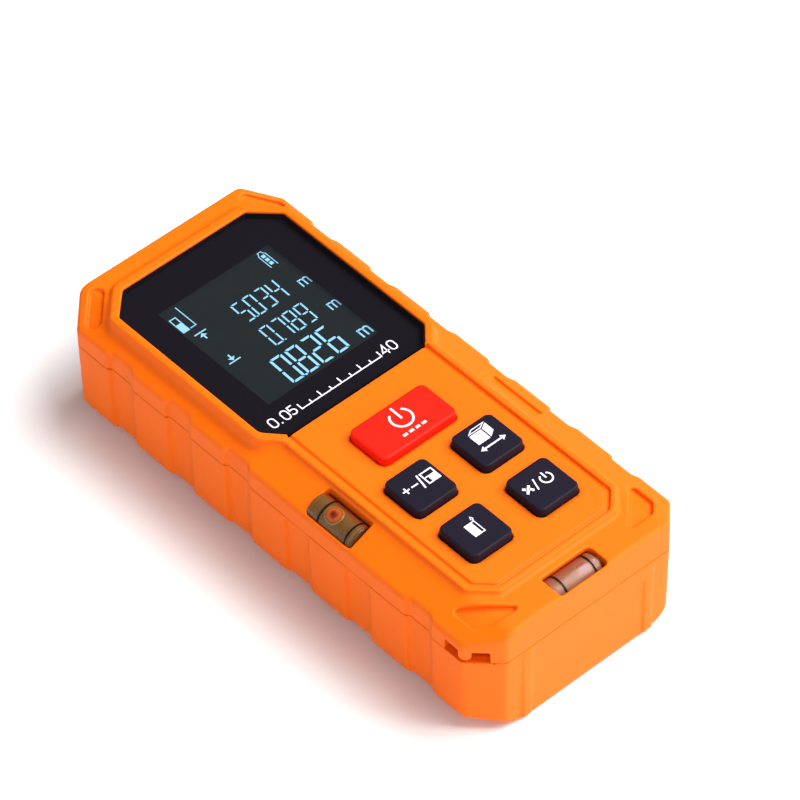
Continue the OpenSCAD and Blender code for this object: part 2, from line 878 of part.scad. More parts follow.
// Points of a ring of wire at a step along a coil lying along Y
function coil_ring(r, wire, pitch, turn, sides) =
  [for (j = [0:sides - 1])
    let (b = 360 * j / sides, reach = r + wire * cos(b))
    [reach * cos(360 * turn), pitch * turn + wire * sin(b), reach * sin(360 * turn)]];

// A round wire wound along Y
module coil(r, wire, pitch, turns) {
  sides = 6;
  steps = 14 * turns;
  points = [for (i = [0:steps]) each coil_ring(r, wire, pitch, turns * i / steps, sides)];
  walls = [for (i = [0:steps - 1]) for (j = [0:sides - 1])
    let (a = i * sides + j, b = i * sides + (j + 1) % sides)
    [b, a, a + sides, b + sides]];
  first = [for (j = [0:sides - 1]) j];
  last = [for (j = [sides - 1:-1:0]) steps * sides + j];
  polyhedron(points, concat(walls, [first, last]), convexity = 8);
}

// One spring at the flat end of each cell
module battery_springs() {
  start = contact_t + spring_wire + fit;
  pitch = (spring_room - 2 * spring_wire - 2 * fit) / spring_turns;
  color(steel) {
    translate([-cell_x, bay_y0 + start, cell_z]) coil(spring_r, spring_wire, pitch, spring_turns);
    translate([cell_x, bay_y1 - start, cell_z])
      rotate(180) coil(spring_r, spring_wire, pitch, spring_turns);
  }
}

// The plate that joins the two cells at the near end
module bridge_contact() {
  color(steel)
    block(
      [-cell_x - contact_w / 2, bay_y0, contact_z0],
      [cell_x + contact_w / 2, bay_y0 + contact_t, contact_z1]
    );
}

// A contact plate with a tab up to the main board
module tab_contact(x) {
  color(steel) {
    block([x - contact_w / 2, bay_y1 - contact_t, contact_z0], [x + contact_w / 2, bay_y1, contact_z1]);
    block([x - 1, bay_y1 - contact_t, contact_z1 - eps], [x + 1, bay_y1, board_z]);
  }
}

module positive_contact() tab_contact(-cell_x);
module negative_contact() tab_contact(cell_x);

upper_shell();
lower_shell();
battery_door();
shell_screws();
display_lens();
lens_tape();
lcd_panel();
lcd_frame();
lcd_backlight();
zebra_strip();
key_measure();
key_units();
key_memory();
key_clear();
key_reference();
plunger_measure();
plunger_units();
plunger_memory();
plunger_clear();
plunger_reference();
keypad_mat();
switch_bodies();
side_vial_tube();
side_vial_plug();
side_vial_fluid();
side_bubble();
end_vial_tube();
end_vial_plug();
end_vial_fluid();
end_bubble();
front_bezel();
laser_window();
receiver_lens();
optics_holder();
optics_screws();
laser_barrel();
collimator_lens();
laser_diode();
receiver_filter();
detector();
detector_board();
optics_cable();
main_board();
board_screws();
cable_socket();
processor();
crystal();
buzzer();
capacitors();
battery_cells();
battery_springs();
bridge_contact();
positive_contact();
negative_contact();
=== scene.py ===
import math

import bmesh
import bpy
import numpy as np
import openvdb
from mathutils import Matrix, Vector


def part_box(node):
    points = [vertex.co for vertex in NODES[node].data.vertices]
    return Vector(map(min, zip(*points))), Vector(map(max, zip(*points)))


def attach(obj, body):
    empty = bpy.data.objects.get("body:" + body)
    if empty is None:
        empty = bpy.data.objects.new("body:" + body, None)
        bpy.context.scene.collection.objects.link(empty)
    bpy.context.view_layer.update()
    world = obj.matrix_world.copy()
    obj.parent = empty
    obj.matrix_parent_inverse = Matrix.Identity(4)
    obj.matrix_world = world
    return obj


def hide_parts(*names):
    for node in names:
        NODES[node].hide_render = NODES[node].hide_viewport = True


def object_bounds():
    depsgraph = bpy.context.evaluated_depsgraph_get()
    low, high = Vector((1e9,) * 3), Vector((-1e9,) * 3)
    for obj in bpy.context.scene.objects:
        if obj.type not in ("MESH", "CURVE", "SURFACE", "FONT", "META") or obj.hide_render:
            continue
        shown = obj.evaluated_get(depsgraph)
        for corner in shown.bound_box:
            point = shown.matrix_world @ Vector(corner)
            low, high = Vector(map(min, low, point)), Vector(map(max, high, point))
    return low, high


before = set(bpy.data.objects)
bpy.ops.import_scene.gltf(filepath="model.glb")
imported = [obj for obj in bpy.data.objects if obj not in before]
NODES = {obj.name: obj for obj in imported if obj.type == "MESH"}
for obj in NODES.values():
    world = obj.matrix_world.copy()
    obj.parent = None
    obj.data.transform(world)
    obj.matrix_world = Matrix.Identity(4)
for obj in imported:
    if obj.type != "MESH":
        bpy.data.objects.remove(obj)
cad_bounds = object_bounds()
MM = 0.001


def box_mm(node):
    """The lowest and highest corners of a CAD node, in millimetres."""
    lo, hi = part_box(node)
    return np.array(lo) / MM, np.array(hi) / MM


# ---- distance fields
def cut_round(a, b, r):
    """The part inside both fields, with the edge between them rounded to r."""
    return np.minimum(-r, np.maximum(a, b)) + np.hypot(np.maximum(a + r, 0), np.maximum(b + r, 0))


def join_round(a, b, r):
    """Both fields together, with the corner between them filled to r."""
    return -cut_round(-a, -b, r)


def remove(a, b, r):
    """Field a with field b taken out, its new edge rounded to r."""
    return cut_round(a, -b, r)


def sides(px, py, points, r, closed=True):
    """A convex outline drawn clockwise, its corners rounded to r."""
    pairs = list(zip(points, points[1:] + (points[:1] if closed else [])))
    d = None
    for (x0, y0), (x1, y1) in pairs:
        length = math.hypot(x1 - x0, y1 - y0)
        e = ((x1 - x0) * (py - y0) - (y1 - y0) * (px - x0)) / length
        d = e if d is None else cut_round(d, e, r)
    return d


def half_outline(ax, y, half, r):
    """An outline symmetric in X from its right-hand half, far end first."""
    d = cut_round(sides(ax, y, half, r, closed=False), y - half[0][1], r)
    return cut_round(d, half[-1][1] - y, r)


def rect(px, py, cx, cy, w, l, r=0.0):
    qx = np.abs(px - cx) - w / 2 + r
    qy = np.abs(py - cy) - l / 2 + r
    return np.hypot(np.maximum(qx, 0), np.maximum(qy, 0)) + np.minimum(np.maximum(qx, qy), 0) - r


def block(x, y, z, lo, hi, r=0.0):
    q = [np.abs(v - (a + b) / 2) - (b - a) / 2 + r for v, a, b in zip((x, y, z), lo, hi)]
    out = np.sqrt(sum(np.maximum(v, 0) ** 2 for v in q))
    return out + np.minimum(np.maximum(np.maximum(q[0], q[1]), q[2]), 0) - r


def blocks(x, y, z, corners, r=0.0):
    """Several blocks together, each given by its lowest and highest corner."""
    out = block(x, y, z, *corners[0], r)
    for lo, hi in corners[1:]:
        out = np.minimum(out, block(x, y, z, lo, hi, r))
    return out


def disc(px, py, cx, cy, r):
    return np.hypot(px - cx, py - cy) - r


def discs(px, py, places, r):
    """Two discs of one radius together."""
    return np.minimum(disc(px, py, *places[0], r), disc(px, py, *places[1], r))


def slant(across, up, run, rise):
    """A slanting face through the zero of across and up, dropping by rise over run."""
    return (across * rise + up * run) / math.hypot(run, rise)


def slab(v, lo, hi):
    return np.maximum(lo - v, v - hi)


def with_tower(field, plan, z, lo, hi):
    """A field joined by an upright column of the given plan."""
    return np.minimum(field, np.maximum(plan, slab(z, lo, hi)))


def step_up(t):
    """0 to 1 with soft ends, as t goes from 0 to 1."""
    t = np.clip(t, 0, 1)
    return t * t * (3 - 2 * t)


PROBE = 0.02  # half the distance over which a field's slope is measured


def sharpen(points, normals, field, slope, step, height, side):
    """Ends upright faces exactly at a height; side is 1 where the body lies above it, -1 where below."""
    above = (points[:, 2] - height) * side
    row = (above > 1e-4) & (above < 0.75 * step) & (np.abs(normals[:, 2]) < 0.8)
    points[row, 2] = height
    normals[row, 2] = 0
    normals /= np.maximum(np.linalg.norm(normals, axis=1), 1e-9)[:, None]

    # on a diagonal face the flat rim's outermost vertices are moved out onto the face
    rim = np.flatnonzero(~row & (np.abs(above) < 0.5 * step) & (normals[:, 2] * side < -0.3))
    out = points[rim]
    out[:, 2] = height + side * 0.6 * step
    d, g = field(*out.T), slope(out)
    flat_g = np.maximum(np.hypot(g[:, 0], g[:, 1]), 0.1)
    near = (d < 0) & (d > -0.8 * step) & (np.minimum(np.abs(g[:, 0]), np.abs(g[:, 1])) > 0.4)
    out[:, :2] -= g[:, :2] * (d / flat_g ** 2)[:, None]
    points[rim[near], :2] = out[near, :2]
    points[rim[near], 2] = height
    normals[rim[near]] = np.stack([g[:, 0], g[:, 1], 0 * d], 1)[near] / flat_g[near, None]


def field_mesh(field, lo, hi, step, flat, crisp):
    """A closed mesh of a field's zero surface, every vertex moved onto it, with its normals.

    crisp is (height, side): upright faces that end at that height are drawn right up to it.
    """
    axes = [np.arange(a - 2.5 * step, b + 3 * step, step) for a, b in zip(lo, hi)]
    gx, gy, gz = axes[0][:, None, None], axes[1][None, :, None], axes[2][None, None, :]
    values = field(gx, gy, gz) + np.zeros((len(axes[0]), len(axes[1]), len(axes[2])))
    band = 3 * step
    grid = openvdb.FloatGrid(band)
    grid.copyFromArray(np.clip(values, -band, band).astype(np.float32))
    points, tris, quads = grid.convertToPolygons(0.0, flat)
    points = points.astype(float) * step + np.array([a[0] for a in axes])

    def slope(p):
        g = np.empty_like(p)
        for k in range(3):
            d = np.zeros(3)
            d[k] = PROBE
            g[:, k] = field(*(p + d).T) - field(*(p - d).T)
        return g / (2 * PROBE)

    for _ in range(3):
        g = slope(points)
        d = field(*points.T)
        move = g * (d / np.maximum((g * g).sum(1), 0.05))[:, None]
        size = np.linalg.norm(move, axis=1)
        points -= move * np.minimum(1, 0.4 * step / np.maximum(size, 1e-9))[:, None]
    g = slope(points)
    normals = g / np.maximum(np.linalg.norm(g, axis=1), 1e-9)[:, None]
    if crisp:
        sharpen(points, normals, field, slope, step, *crisp)
    faces = [tuple(f) for f in tris.tolist()] + [tuple(f) for f in quads.tolist()]
    a, b, c = points[faces[0][0]], points[faces[0][1]], points[faces[0][2]]
    if np.dot(np.cross(b - a, c - a), normals[faces[0][0]]) < 0:
        faces = [f[::-1] for f in faces]
    return points, faces, normals


def in_scene(name, data):
    obj = bpy.data.objects.new(name, data)
    bpy.context.scene.collection.objects.link(obj)
    return obj


def new_object(name, mesh, body, *replaced):
    """A piece that moves with its body and stands in for the CAD nodes it replaces."""
    obj = in_scene(name, mesh)
    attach(obj, body)
    if replaced:
        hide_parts(*replaced)
    return obj


def bmesh_piece(name, bm, material, body, *replaced, smooth=True):
    mesh = bpy.data.meshes.new(name)
    bm.to_mesh(mesh)
    bm.free()
    mesh.polygons.foreach_set("use_smooth", np.full(len(mesh.polygons), smooth))
    mesh.materials.append(material)
    return new_object(name, mesh, body, *replaced)


def field_piece(name, field, lo, hi, step, material, body, replaced, flat=0.02, crisp=None):
    points, faces, normals = field_mesh(field, lo, hi, step, flat, crisp)
    mesh = bpy.data.meshes.new(name)
    mesh.from_pydata((points * MM).tolist(), [], faces)
    mesh.polygons.foreach_set("use_smooth", np.ones(len(mesh.polygons), bool))
    mesh.update()
    mesh.normals_split_custom_set_from_vertices(normals.tolist())
    mesh.materials.append(material)
    new_object(name, mesh, body, replaced)


# ---- the case
HW, HL = cad_bounds[1][0] / MM, cad_bounds[1][1] / MM
CORNER = 5.4
WALL = 2.0
SPLIT, SEAM = 17.9, 0.12  # the shells meet at SPLIT, each stopping SEAM short of it
SIDE_TOP, FLAT, SLOPE_X, RIM_TOP = 22.0, 24.9, 17.8, 26.0
PLATE, GROOVE, SEAT = 25.4, 25.05, 24.2
KEYPAD_DROP = 0.22  # the rim is this much lower beside the keypad than beside the window

# right-hand halves of the outlines on the top face, far end first
WINDOW = [(14.4, 49.6), (19.4, 44.65), (19.4, 6.85), (16.1, 3.1)]
RIM_FAR = [(15.1, 51.3), (20.9, 45.5), (20.9, 6.0), (17.7, 2.6)]
RIM_NEAR = [(17.7, 12.0), (17.7, -44.1), (13.5, -48.4)]
KEYPAD = [(16.4, 3.1), (16.4, -43.9), (13.0, -47.3)]
PLATE_EDGE = [(15.6, 3.1), (15.6, -43.4), (12.6, -46.5)]

# recesses in the shoulders: far corner, near corner, and the long blind one on the right
FAR_RECESS, FAR_DEPTH = (20, 50.3), 0.85
NEAR_RECESS = [(13.5, -52.5), (13.1, -52.0), (20.3, -44.8), (21.1, -45.1), (21.1, -49.6), (18.4, -52.3)]
NEAR_DEPTH = 1.0
BLIND_X, BLIND_Y, BLIND_DEPTH = (17.6, 21.4), (-21.3, -8.0), 0.6

# grip valleys in the long sides, from the far one; the left side's upper shell lacks the two at the vial
GRIP_Y = [(2.5 - i) * 15.7 for i in range(6)]
GRIP_DEPTH, GRIP_FLOOR, GRIP_STEEP, GRIP_SOFT = 0.7, 4.5, 1.15, 1.9
AT_VIAL = (3, 4)

# places of the case screws, of the board's posts and of the lanyard eye
SCREWS = ((18.2, 46), (18.2, -40))
POSTS = ((14.6, 1.2), (14.6, -43.6))
BOARD_PILLARS = ((-17.6, 34), (16.8, 34), (-4.6, 21.5))
EYE, EYE_WALL, EYE_HOLE = (-23.6, -50.5), 5.7, 4.25

# the laser end: height of both axes, then where each lies across
FRONT_Z, LENS_X, LASER_X = 9.9, 5.6, -9.4

KEY_FLANGE, KEY_ROUND, KEY_FLOOR = 0.8, 1.4, 22.7
KEYS = {}
for key in ("measure", "units", "memory", "clear", "reference"):
    lo, hi = box_mm("key_" + key)
    KEYS[key] = (*((lo + hi) / 2)[:2], *(hi - lo - 2 * KEY_FLANGE)[:2])
KEY_TOP = box_mm("key_measure")[1][2] + 0.25

# vials: wider tubes than the CAD's, set a little higher, and the slots above them
VIAL_R = 2.95
side_lo, side_hi = box_mm("side_vial_tube")
SIDE_VIAL = (side_lo + side_hi) / 2 + (0.45, 0, 1.1)
end_lo, end_hi = box_mm("end_vial_tube")
END_VIAL = (end_lo + end_hi) / 2 + (-0.5, 0.2, 0.75)
SIDE_HALF, END_HALF = (side_hi[1] - side_lo[1]) / 2, (end_hi[0] - end_lo[0]) / 2
SIDE_SLOT = (-0.2, 2.75, 0.7)  # shift across, half width, rounding of the far end
END_SLOT = (-0.4, 2.6, 1.1)
# pocket walls: above the split as far out as the case, below it set in
VIAL_WALLS = (((-23.9, -22.6, SPLIT + SEAM), (-16.7, -9, 24)), ((-22.1, -22.6, 17), (-16.7, -9, 24)),
              ((-6.7, -55.5, SPLIT + SEAM), (6.7, -48.2, 24)), ((-6.7, -53.9, 17.6), (6.7, -48.2, 24)))


def valleys(y, left_out=()):
    v = 0.0
    for i, mid in enumerate(GRIP_Y):
        if i not in left_out:
            up = step_up((mid + GRIP_FLOOR / 2 + GRIP_STEEP - y) / GRIP_STEEP)
            down = step_up((y - mid + GRIP_FLOOR / 2 + GRIP_SOFT) / GRIP_SOFT)
            v = np.maximum(v, up * down)
    return v * GRIP_DEPTH


def grips(x, y):
    """How far the upper shell's long sides lie back."""
    return np.where(x < 0, valleys(y, AT_VIAL), valleys(y))


def top_faces(ax, z, soft=0.4):
    """The two slopes and the flat between them."""
    return cut_round(slant(ax - HW, z - SIDE_TOP, HW - SLOPE_X, FLAT - SIDE_TOP), z - FLAT, soft)


def corner_chamfer(ax, ay, inset=0.0):
    return (ax + ay - (HW + HL - CORNER)) / math.sqrt(2) + inset


def plan_inset(ax, ay, inset):
    """The case's plan, drawn smaller all round."""
    return np.maximum(np.maximum(ax - HW, ay - HL) + inset, corner_chamfer(ax, ay, inset))


def eye_axis(x, y):
    """Distance from the axis of the lanyard eye."""
    return np.hypot(x - EYE[0], y - EYE[1])


def vial_slot(across, along, up, half_length, slot):
    """The open pocket of a vial: a tunnel the tube fills and an upright slot above it."""
    shift, half, far_round = slot
    tunnel = np.hypot(across, up) - (VIAL_R + 0.05)
    mouth = np.maximum(np.abs(across - shift) - half, -up)
    both = np.minimum(tunnel, mouth)
    end = np.abs(along) - half_length - 0.05
    return np.where(along > 0, cut_round(both, end, far_round), cut_round(both, end, 0.4))


def shoulder_recesses(x, y, z, top, near):
    """Two fields to take out of the shoulders: the corner recesses, and the long blind one."""
    ax = np.abs(x)
    dx, dy = ax - FAR_RECESS[0], y - FAR_RECESS[1]
    u, w = (dx - dy) / math.sqrt(2), (dx + dy) / math.sqrt(2)
    far = cut_round(rect(u, w, -0.66, 0.23, 7.9, 2.7, 1.3), -(top + FAR_DEPTH), 0.3)
    low = cut_round(near, -(top_faces(ax, z, soft=2.5) + NEAR_DEPTH), 0.4)
    deep = BLIND_DEPTH * np.clip((x - 17.9) / 3.2, 0, 1) * step_up((-8.6 - y) / 0.9)
    blind = cut_round(cut_round(x - BLIND_X[1], BLIND_Y[0] - y, 0.4), -(top + deep), 0.25)
    return np.minimum(far, low), np.maximum(np.maximum(blind, BLIND_X[0] - x), y - BLIND_Y[1])


def top_relief(outer, ax, y, z):
    """Adds the raised rim, then cuts the moat round the keypad plate and the window's pocket."""
    rim = join_round(half_outline(ax, y, RIM_FAR, 0.6), half_outline(ax, y, RIM_NEAR, 0.4), 1.0)
    rim_top = RIM_TOP - KEYPAD_DROP * step_up((3.5 - y) / 3.5)
    draft = 0.15 + 0.4 * step_up((y - 45) / 5)
    rim = cut_round(rim + draft * (z - rim_top), z - rim_top, 0.35)
    outer = join_round(outer, rim, 0.65)
    moat = np.maximum(half_outline(ax, y, KEYPAD, 0.35), GROOVE - z)
    island = cut_round(half_outline(ax, y, PLATE_EDGE, 0.4), z - PLATE, 0.3)
    outer = join_round(remove(outer, moat, 0.35), np.maximum(island, 22 - z), 0.2)
    return remove(outer, np.maximum(half_outline(ax, y, WINDOW, 0.4), SEAT - z), 0.25)


def upper_hollow(x, y, z, near):
    """The room under the upper shell, with a step that takes the lower shell's lip."""
    ax, ay = np.abs(x), np.abs(y)
    inside = np.maximum(slant(ax - HW + WALL, z - 20.9, 6.0, 2.6), z - 23.5)
    inside = np.maximum(inside, plan_inset(ax, ay, WALL))
    step = np.maximum(plan_inset(ax, ay, 1.25), z - 19.0)
    step = np.maximum(step, -block(x, y, z, (-30, -22.8, 10), (-17, -8.8, 30)))
    return np.minimum(np.maximum(inside, np.minimum(1.2 - near, z - 21.6)), step)


def upper_case(x, y, z):
    ax, ay = np.abs(x), np.abs(y)
    plan = cut_round(ax - HW + grips(x, y), corner_chamfer(ax, ay), 0.5)
    top = top_faces(ax, z)
    outer = cut_round(cut_round(plan, top, 0.7), ay - HL, 0.5)
    near = sides(ax, y, NEAR_RECESS, 0.4)
    corners, blind = shoulder_recesses(x, y, z, top, near)
    outer = remove(remove(outer, corners, 0.45), blind, 0.35)
    outer = top_relief(outer, ax, y, z)
    shell = np.maximum(outer, -upper_hollow(x, y, z, near))
    shell = cut_round(shell, SPLIT + SEAM - z, 0.04)

    # walls round the vials, the lanyard eye, screw bosses and posts
    eye = eye_axis(x, y)
    added = blocks(x, y, z, VIAL_WALLS)
    added = with_tower(added, eye - EYE_WALL, z, SPLIT + SEAM, 22)
    added = with_tower(added, discs(ax, y, SCREWS, 2.6), z, 12.05, 23.9)
    added = with_tower(added, discs(ax, y, POSTS, 1.9), z, 19.8, 23.7)
    shell = np.minimum(shell, np.maximum(added, outer))

    # openings for the keys, the display, the screws, the vials and the eye
    for cx, cy, w, l in KEYS.values():
        hole = np.maximum(rect(x, y, cx, cy, w + 0.5, l + 0.5, KEY_ROUND), 22 - z)
        shell = remove(shell, hole, 0.25)
    holes = np.maximum(rect(x, y, 0, 26.7, 33.6, 38.4), slab(z, 18.6, 25.2))
    holes = with_tower(holes, discs(ax, y, SCREWS, 1.0), z, 10, 19)
    holes = with_tower(holes, discs(ax, y, POSTS, 0.65), z, 18, 22.6)
    shell = np.maximum(shell, -holes)
    slot = vial_slot(x - SIDE_VIAL[0], y - SIDE_VIAL[1], z - SIDE_VIAL[2], SIDE_HALF, SIDE_SLOT)
    shell = remove(shell, slot, 0.3)
    slot = vial_slot(y - END_VIAL[1], x - END_VIAL[0], z - END_VIAL[2], END_HALF, END_SLOT)
    shell = remove(shell, slot, 0.3)
    shell = remove(shell, cut_round(eye - EYE_HOLE, z - 20.3, 0.15), 0.15)
    post = np.maximum(cut_round(eye - 1.2, 18.4 - z, 0.8), z - 21)
    return join_round(shell, np.maximum(post, outer), 0.15)


def lower_case(x, y, z):
    ax, ay = np.abs(x), np.abs(y)
    draft = 1 - z / SPLIT
    flush = grips(x, y)
    cut = flush + (valleys(y) - flush) * step_up((SPLIT - z) / 1.6)
    plan = cut_round(ax - HW + 0.3 * draft + cut, corner_chamfer(ax, ay, 0.3 * draft), 0.5)
    under = cut_round(-z, slant(ax - 13.5, z, -9, 1.85), 0.5)
    outer = cut_round(cut_round(plan, under, 1.9), ay - HL + 0.25 * draft, 0.6)
    rib = block(ax, y, z, (13.1, -HL - 0.15, 0.6), (15.3, -HL + 2, SPLIT - 0.4), 0.35)
    outer = join_round(outer, rib, 0.3)

    # the room inside, with a sloping floor
    floor = np.maximum(slant(ax - 13.8, z - 1.8, -8.7, 1.8), slant(ax - 20.5, z - 3.6, -1.5, 1.9))
    inside = np.maximum(np.maximum(plan_inset(ax, ay, WALL), 1.8 - z), floor)
    shell = np.maximum(outer, -inside)

    # the battery bay's walls, screw bosses, board pillars and the lanyard eye's foot
    eye = eye_axis(x, y)
    added = block(x, y, z, (-12.4, -52.7, 0.5), (12.4, -1.3, 13.9))
    added = with_tower(added, discs(ax, y, SCREWS, 3.1), z, 1.5, 12)
    for place in BOARD_PILLARS:
        added = with_tower(added, disc(x, y, *place, 2.3), z, 1, 4)
    added = with_tower(added, eye - EYE_WALL, z, 15.9, SPLIT)
    shell = np.minimum(shell, np.maximum(added, outer))
    shell = cut_round(shell, z - SPLIT + SEAM, 0.04)

    # the lip inside the seam, left out at the vials, the eye and the laser end
    lip = np.maximum(np.maximum(plan_inset(ax, ay, 1.3), -inside), slab(z, SPLIT - 1.5, SPLIT + 1))
    gaps = blocks(x, y, z, (((-30, -23, 15.9), (-17, -8.6, 30)), ((-7, -60, 15.9), (7, -49, 30)),
                            ((-15.5, 50, SPLIT), (15.5, 60, 30))))
    gaps = np.minimum(gaps, np.maximum(eye - 6.2, SPLIT - z))
    shell = np.minimum(shell, np.maximum(lip, -gaps))

    # the battery bay and its door's seat, the screw wells and the opening of the laser end
    bay = blocks(x, y, z, (((-11.2, -51.5, 1.4), (11.2, -2.5, 12.7)), ((-11.2, -50.15, -3), (11.2, -2.85, 3)),
                           ((-12.55, -50.15, -3), (12.55, -2.85, 0.85))))
    shell = remove(shell, bay, 0.15)
    shell = remove(shell, np.maximum(discs(ax, y, SCREWS, 2.0), z - 7), 0.3)
    shell = np.maximum(shell, -discs(ax, y, SCREWS, 1.15))
    seat = np.maximum(rect(x, z, 0, FRONT_Z, 31.1, 13.3, 0.5), HL - 1.55 - y)
    mouth = np.maximum(rect(x, z, 0, FRONT_Z, 29.4, 11.6, 0.3), slab(y, HL - 6, HL + 1))
    return np.maximum(remove(shell, seat, 0.25), -mouth)


def battery_door(x, y, z):
    door = blocks(x, y, z, (((-12.4, -50, 0), (12.4, -3, 0.75)), ((-11.05, -50, 0), (11.05, -3, 1.5)),
                            ((-1.6, -3.9, 1.3), (1.6, -3.1, 3.5))), 0.15)
    catch = block(x, y, z, (-1.6, -3.5, 1.6), (1.6, -2.95, 2.2), 0.1)
    tabs = blocks(np.abs(x), y, z, (((9.8, -51.3, 1.5), (11, -48.5, 2.3)),
                                    ((9.8, -50, 1.0), (11, -48.5, 2.0))), 0.1)
    door = np.minimum(door, np.minimum(catch, tabs))
    for i in range(5):
        mid = -7.05 - 1.4 * i
        groove = block(x, y, z, (-4, mid - 0.35, -1), (4, mid + 0.35, 0.3), 0.2)
        door = remove(door, groove, 0.12)
    return door


def key_cap(cx, cy, w, l):
    def field(x, y, z):
        lean = np.clip(z - PLATE, 0, 2) * 0.04
        cap = cut_round(rect(x, y, cx, cy, w + 0.3, l + 0.3, KEY_ROUND) + lean, z - KEY_TOP, 0.35)
        cap = np.maximum(cap, KEY_FLOOR - z)
        flange = rect(x, y, cx, cy, w + 2 * KEY_FLANGE, l + 2 * KEY_FLANGE, KEY_ROUND)
        skirt = np.maximum(flange, slab(z, KEY_FLOOR, 23.4))
        stem = np.maximum(disc(x, y, cx, cy, 1.6), slab(z, 21.9, 23))
        return np.minimum(join_round(cap, skirt, 0.15), stem)
    return field


def window_slab(x, y, z):
    """The clear window: flat, with a fine bevel round its top edge."""
    plan = [(px - 0.1, py + (0.1 if py < 20 else -0.1)) for px, py in WINDOW]
    lo, hi = WINDOW_Z
    return cut_round(half_outline(np.abs(x), y, plan, 0.4), np.maximum(z - hi, lo - z), 0.12)


def bezel(x, y, z):
    """The laser end's panel, with the receiving lens's hole and the laser's stepped one."""
    panel = cut_round(rect(x, z, 0, FRONT_Z, 31, 13.2, 0.4), slab(y, HL - 1.5, HL - 0.3), 0.15)
    panel = remove(panel, disc(x, z, LENS_X, FRONT_Z, 6.0), 0.3)
    panel = remove(panel, disc(x, z, LASER_X, FRONT_Z, 2.2), 0.25)
    return np.maximum(panel, -np.maximum(disc(x, z, LASER_X, FRONT_Z, 3.0), y - HL + 0.9))


# ---- materials
def srgb(r, g, b):
    """A colour from its 0-255 screen values."""
    shares = (v / 255 for v in (r, g, b))
    return tuple(((v + 0.055) / 1.055) ** 2.4 if v > 0.04045 else v / 12.92 for v in shares) + (1.0,)


def shade(color, share):
    """The same colour, darker."""
    return tuple(c * share for c in color[:3]) + (1.0,)


class Shader:
    """A node material under construction, with short names for what it needs."""

    def __init__(self, name):
        self.material = bpy.data.materials.new(name)
        self.material.use_nodes = True
        self.tree = self.material.node_tree
        self.bsdf = self.tree.nodes["Principled BSDF"]
        self.place = self.node("ShaderNodeTexCoord").outputs["Object"]

    def node(self, kind, **values):
        n = self.tree.nodes.new(kind)
        for key, value in values.items():
            setattr(n, key, value)
        return n

    def put(self, socket, value):
        if isinstance(value, bpy.types.NodeSocket):
            self.tree.links.new(value, socket)
        else:
            socket.default_value = value

    def set(self, **values):
        for key, value in values.items():
            self.put(self.bsdf.inputs[key.replace("_", " ")], value)

    def noise(self, scale_mm, detail=2.0, rough=0.5, stretch=None):
        place = self.place
        if stretch:
            m = self.node("ShaderNodeMapping")
            self.put(m.inputs["Vector"], place)
            m.inputs["Scale"].default_value = stretch
            place = m.outputs["Vector"]
        n = self.node("ShaderNodeTexNoise")
        self.put(n.inputs["Vector"], place)
        n.inputs["Scale"].default_value = 1 / (scale_mm * MM)
        n.inputs["Detail"].default_value = detail
        n.inputs["Roughness"].default_value = rough
        return n.outputs["Fac"]

    def ramp(self, fac, stops):
        n = self.node("ShaderNodeValToRGB")
        self.put(n.inputs["Fac"], fac)
        ramp = n.color_ramp
        while len(ramp.elements) < len(stops):
            ramp.elements.new(0.5)
        for e, (at, color) in zip(ramp.elements, stops):
            e.position, e.color = at, color
        return n.outputs["Color"]

    def between(self, fac, low, high, start=0.0, stop=1.0):
        """Low to high, as fac goes from start to stop."""
        n = self.node("ShaderNodeMapRange")
        self.put(n.inputs["Value"], fac)
        for socket, value in (("From Min", start), ("From Max", stop), ("To Min", low), ("To Max", high)):
            n.inputs[socket].default_value = value
        return n.outputs["Result"]

    def part(self, axis):
        """One coordinate of the place being painted, in metres."""
        n = self.node("ShaderNodeSeparateXYZ")
        self.put(n.inputs[0], self.place)
        return n.outputs[axis]

    def math(self, operation, a, b=0.0, clamp=False):
        n = self.node("ShaderNodeMath", operation=operation, use_clamp=clamp)
        self.put(n.inputs[0], a)
        self.put(n.inputs[1], b)
        return n.outputs[0]

    def shaders(self, share, first, second):
        """The finished material, mixed from two shader nodes."""
        n = self.node("ShaderNodeMixShader")
        self.put(n.inputs[0], share)
        self.put(n.inputs[1], first.outputs[0])
        self.put(n.inputs[2], second.outputs[0])
        self.put(self.tree.nodes["Material Output"].inputs["Surface"], n.outputs[0])
        return self.material

    def mix(self, fac, a, b):
        n = self.node("ShaderNodeMix", data_type="RGBA")
        self.put(n.inputs[0], fac)
        self.put(n.inputs[6], a)
        self.put(n.inputs[7], b)
        return n.outputs[2]

    def bump(self, height, depth_mm, strength):
        n = self.node("ShaderNodeBump")
        self.put(n.inputs["Height"], height)
        n.inputs["Distance"].default_value = depth_mm * MM
        n.inputs["Strength"].default_value = strength
        return n.outputs["Normal"]


def moulded(name, color, rough=0.45, grain_mm=0.22, depth_mm=0.02, specular=0.5):
    """Moulded plastic: fine spark texture and a slow drift of colour and gloss."""
    s = Shader(name)
    tint = s.mix(s.between(s.noise(9, 3), 0, 1), shade(color, 0.95), color)
    fine = s.noise(grain_mm, 3, 0.6)
    s.set(Base_Color=tint, Roughness=s.between(s.noise(1.6, 4), rough - 0.05, rough + 0.06),
          Normal=s.bump(fine, depth_mm, 0.35), Specular_IOR_Level=specular)
    return s.material


def key_plastic(name, color, specular):
    return moulded(name, color, 0.45, grain_mm=0.3, depth_mm=0.012, specular=specular)


case_paint = moulded("case_plastic", (0.89, 0.138, 0.001, 1.0), 0.52, specular=0.14)
red_paint = key_plastic("red_key_plastic", (0.86, 0.012, 0.004, 1.0), 0.12)
black_paint = key_plastic("black_key_plastic", (0.011, 0.0085, 0.017, 1.0), 0.08)
bezel_paint = moulded("bezel_plastic", srgb(20, 20, 22), grain_mm=0.25, specular=0.2)


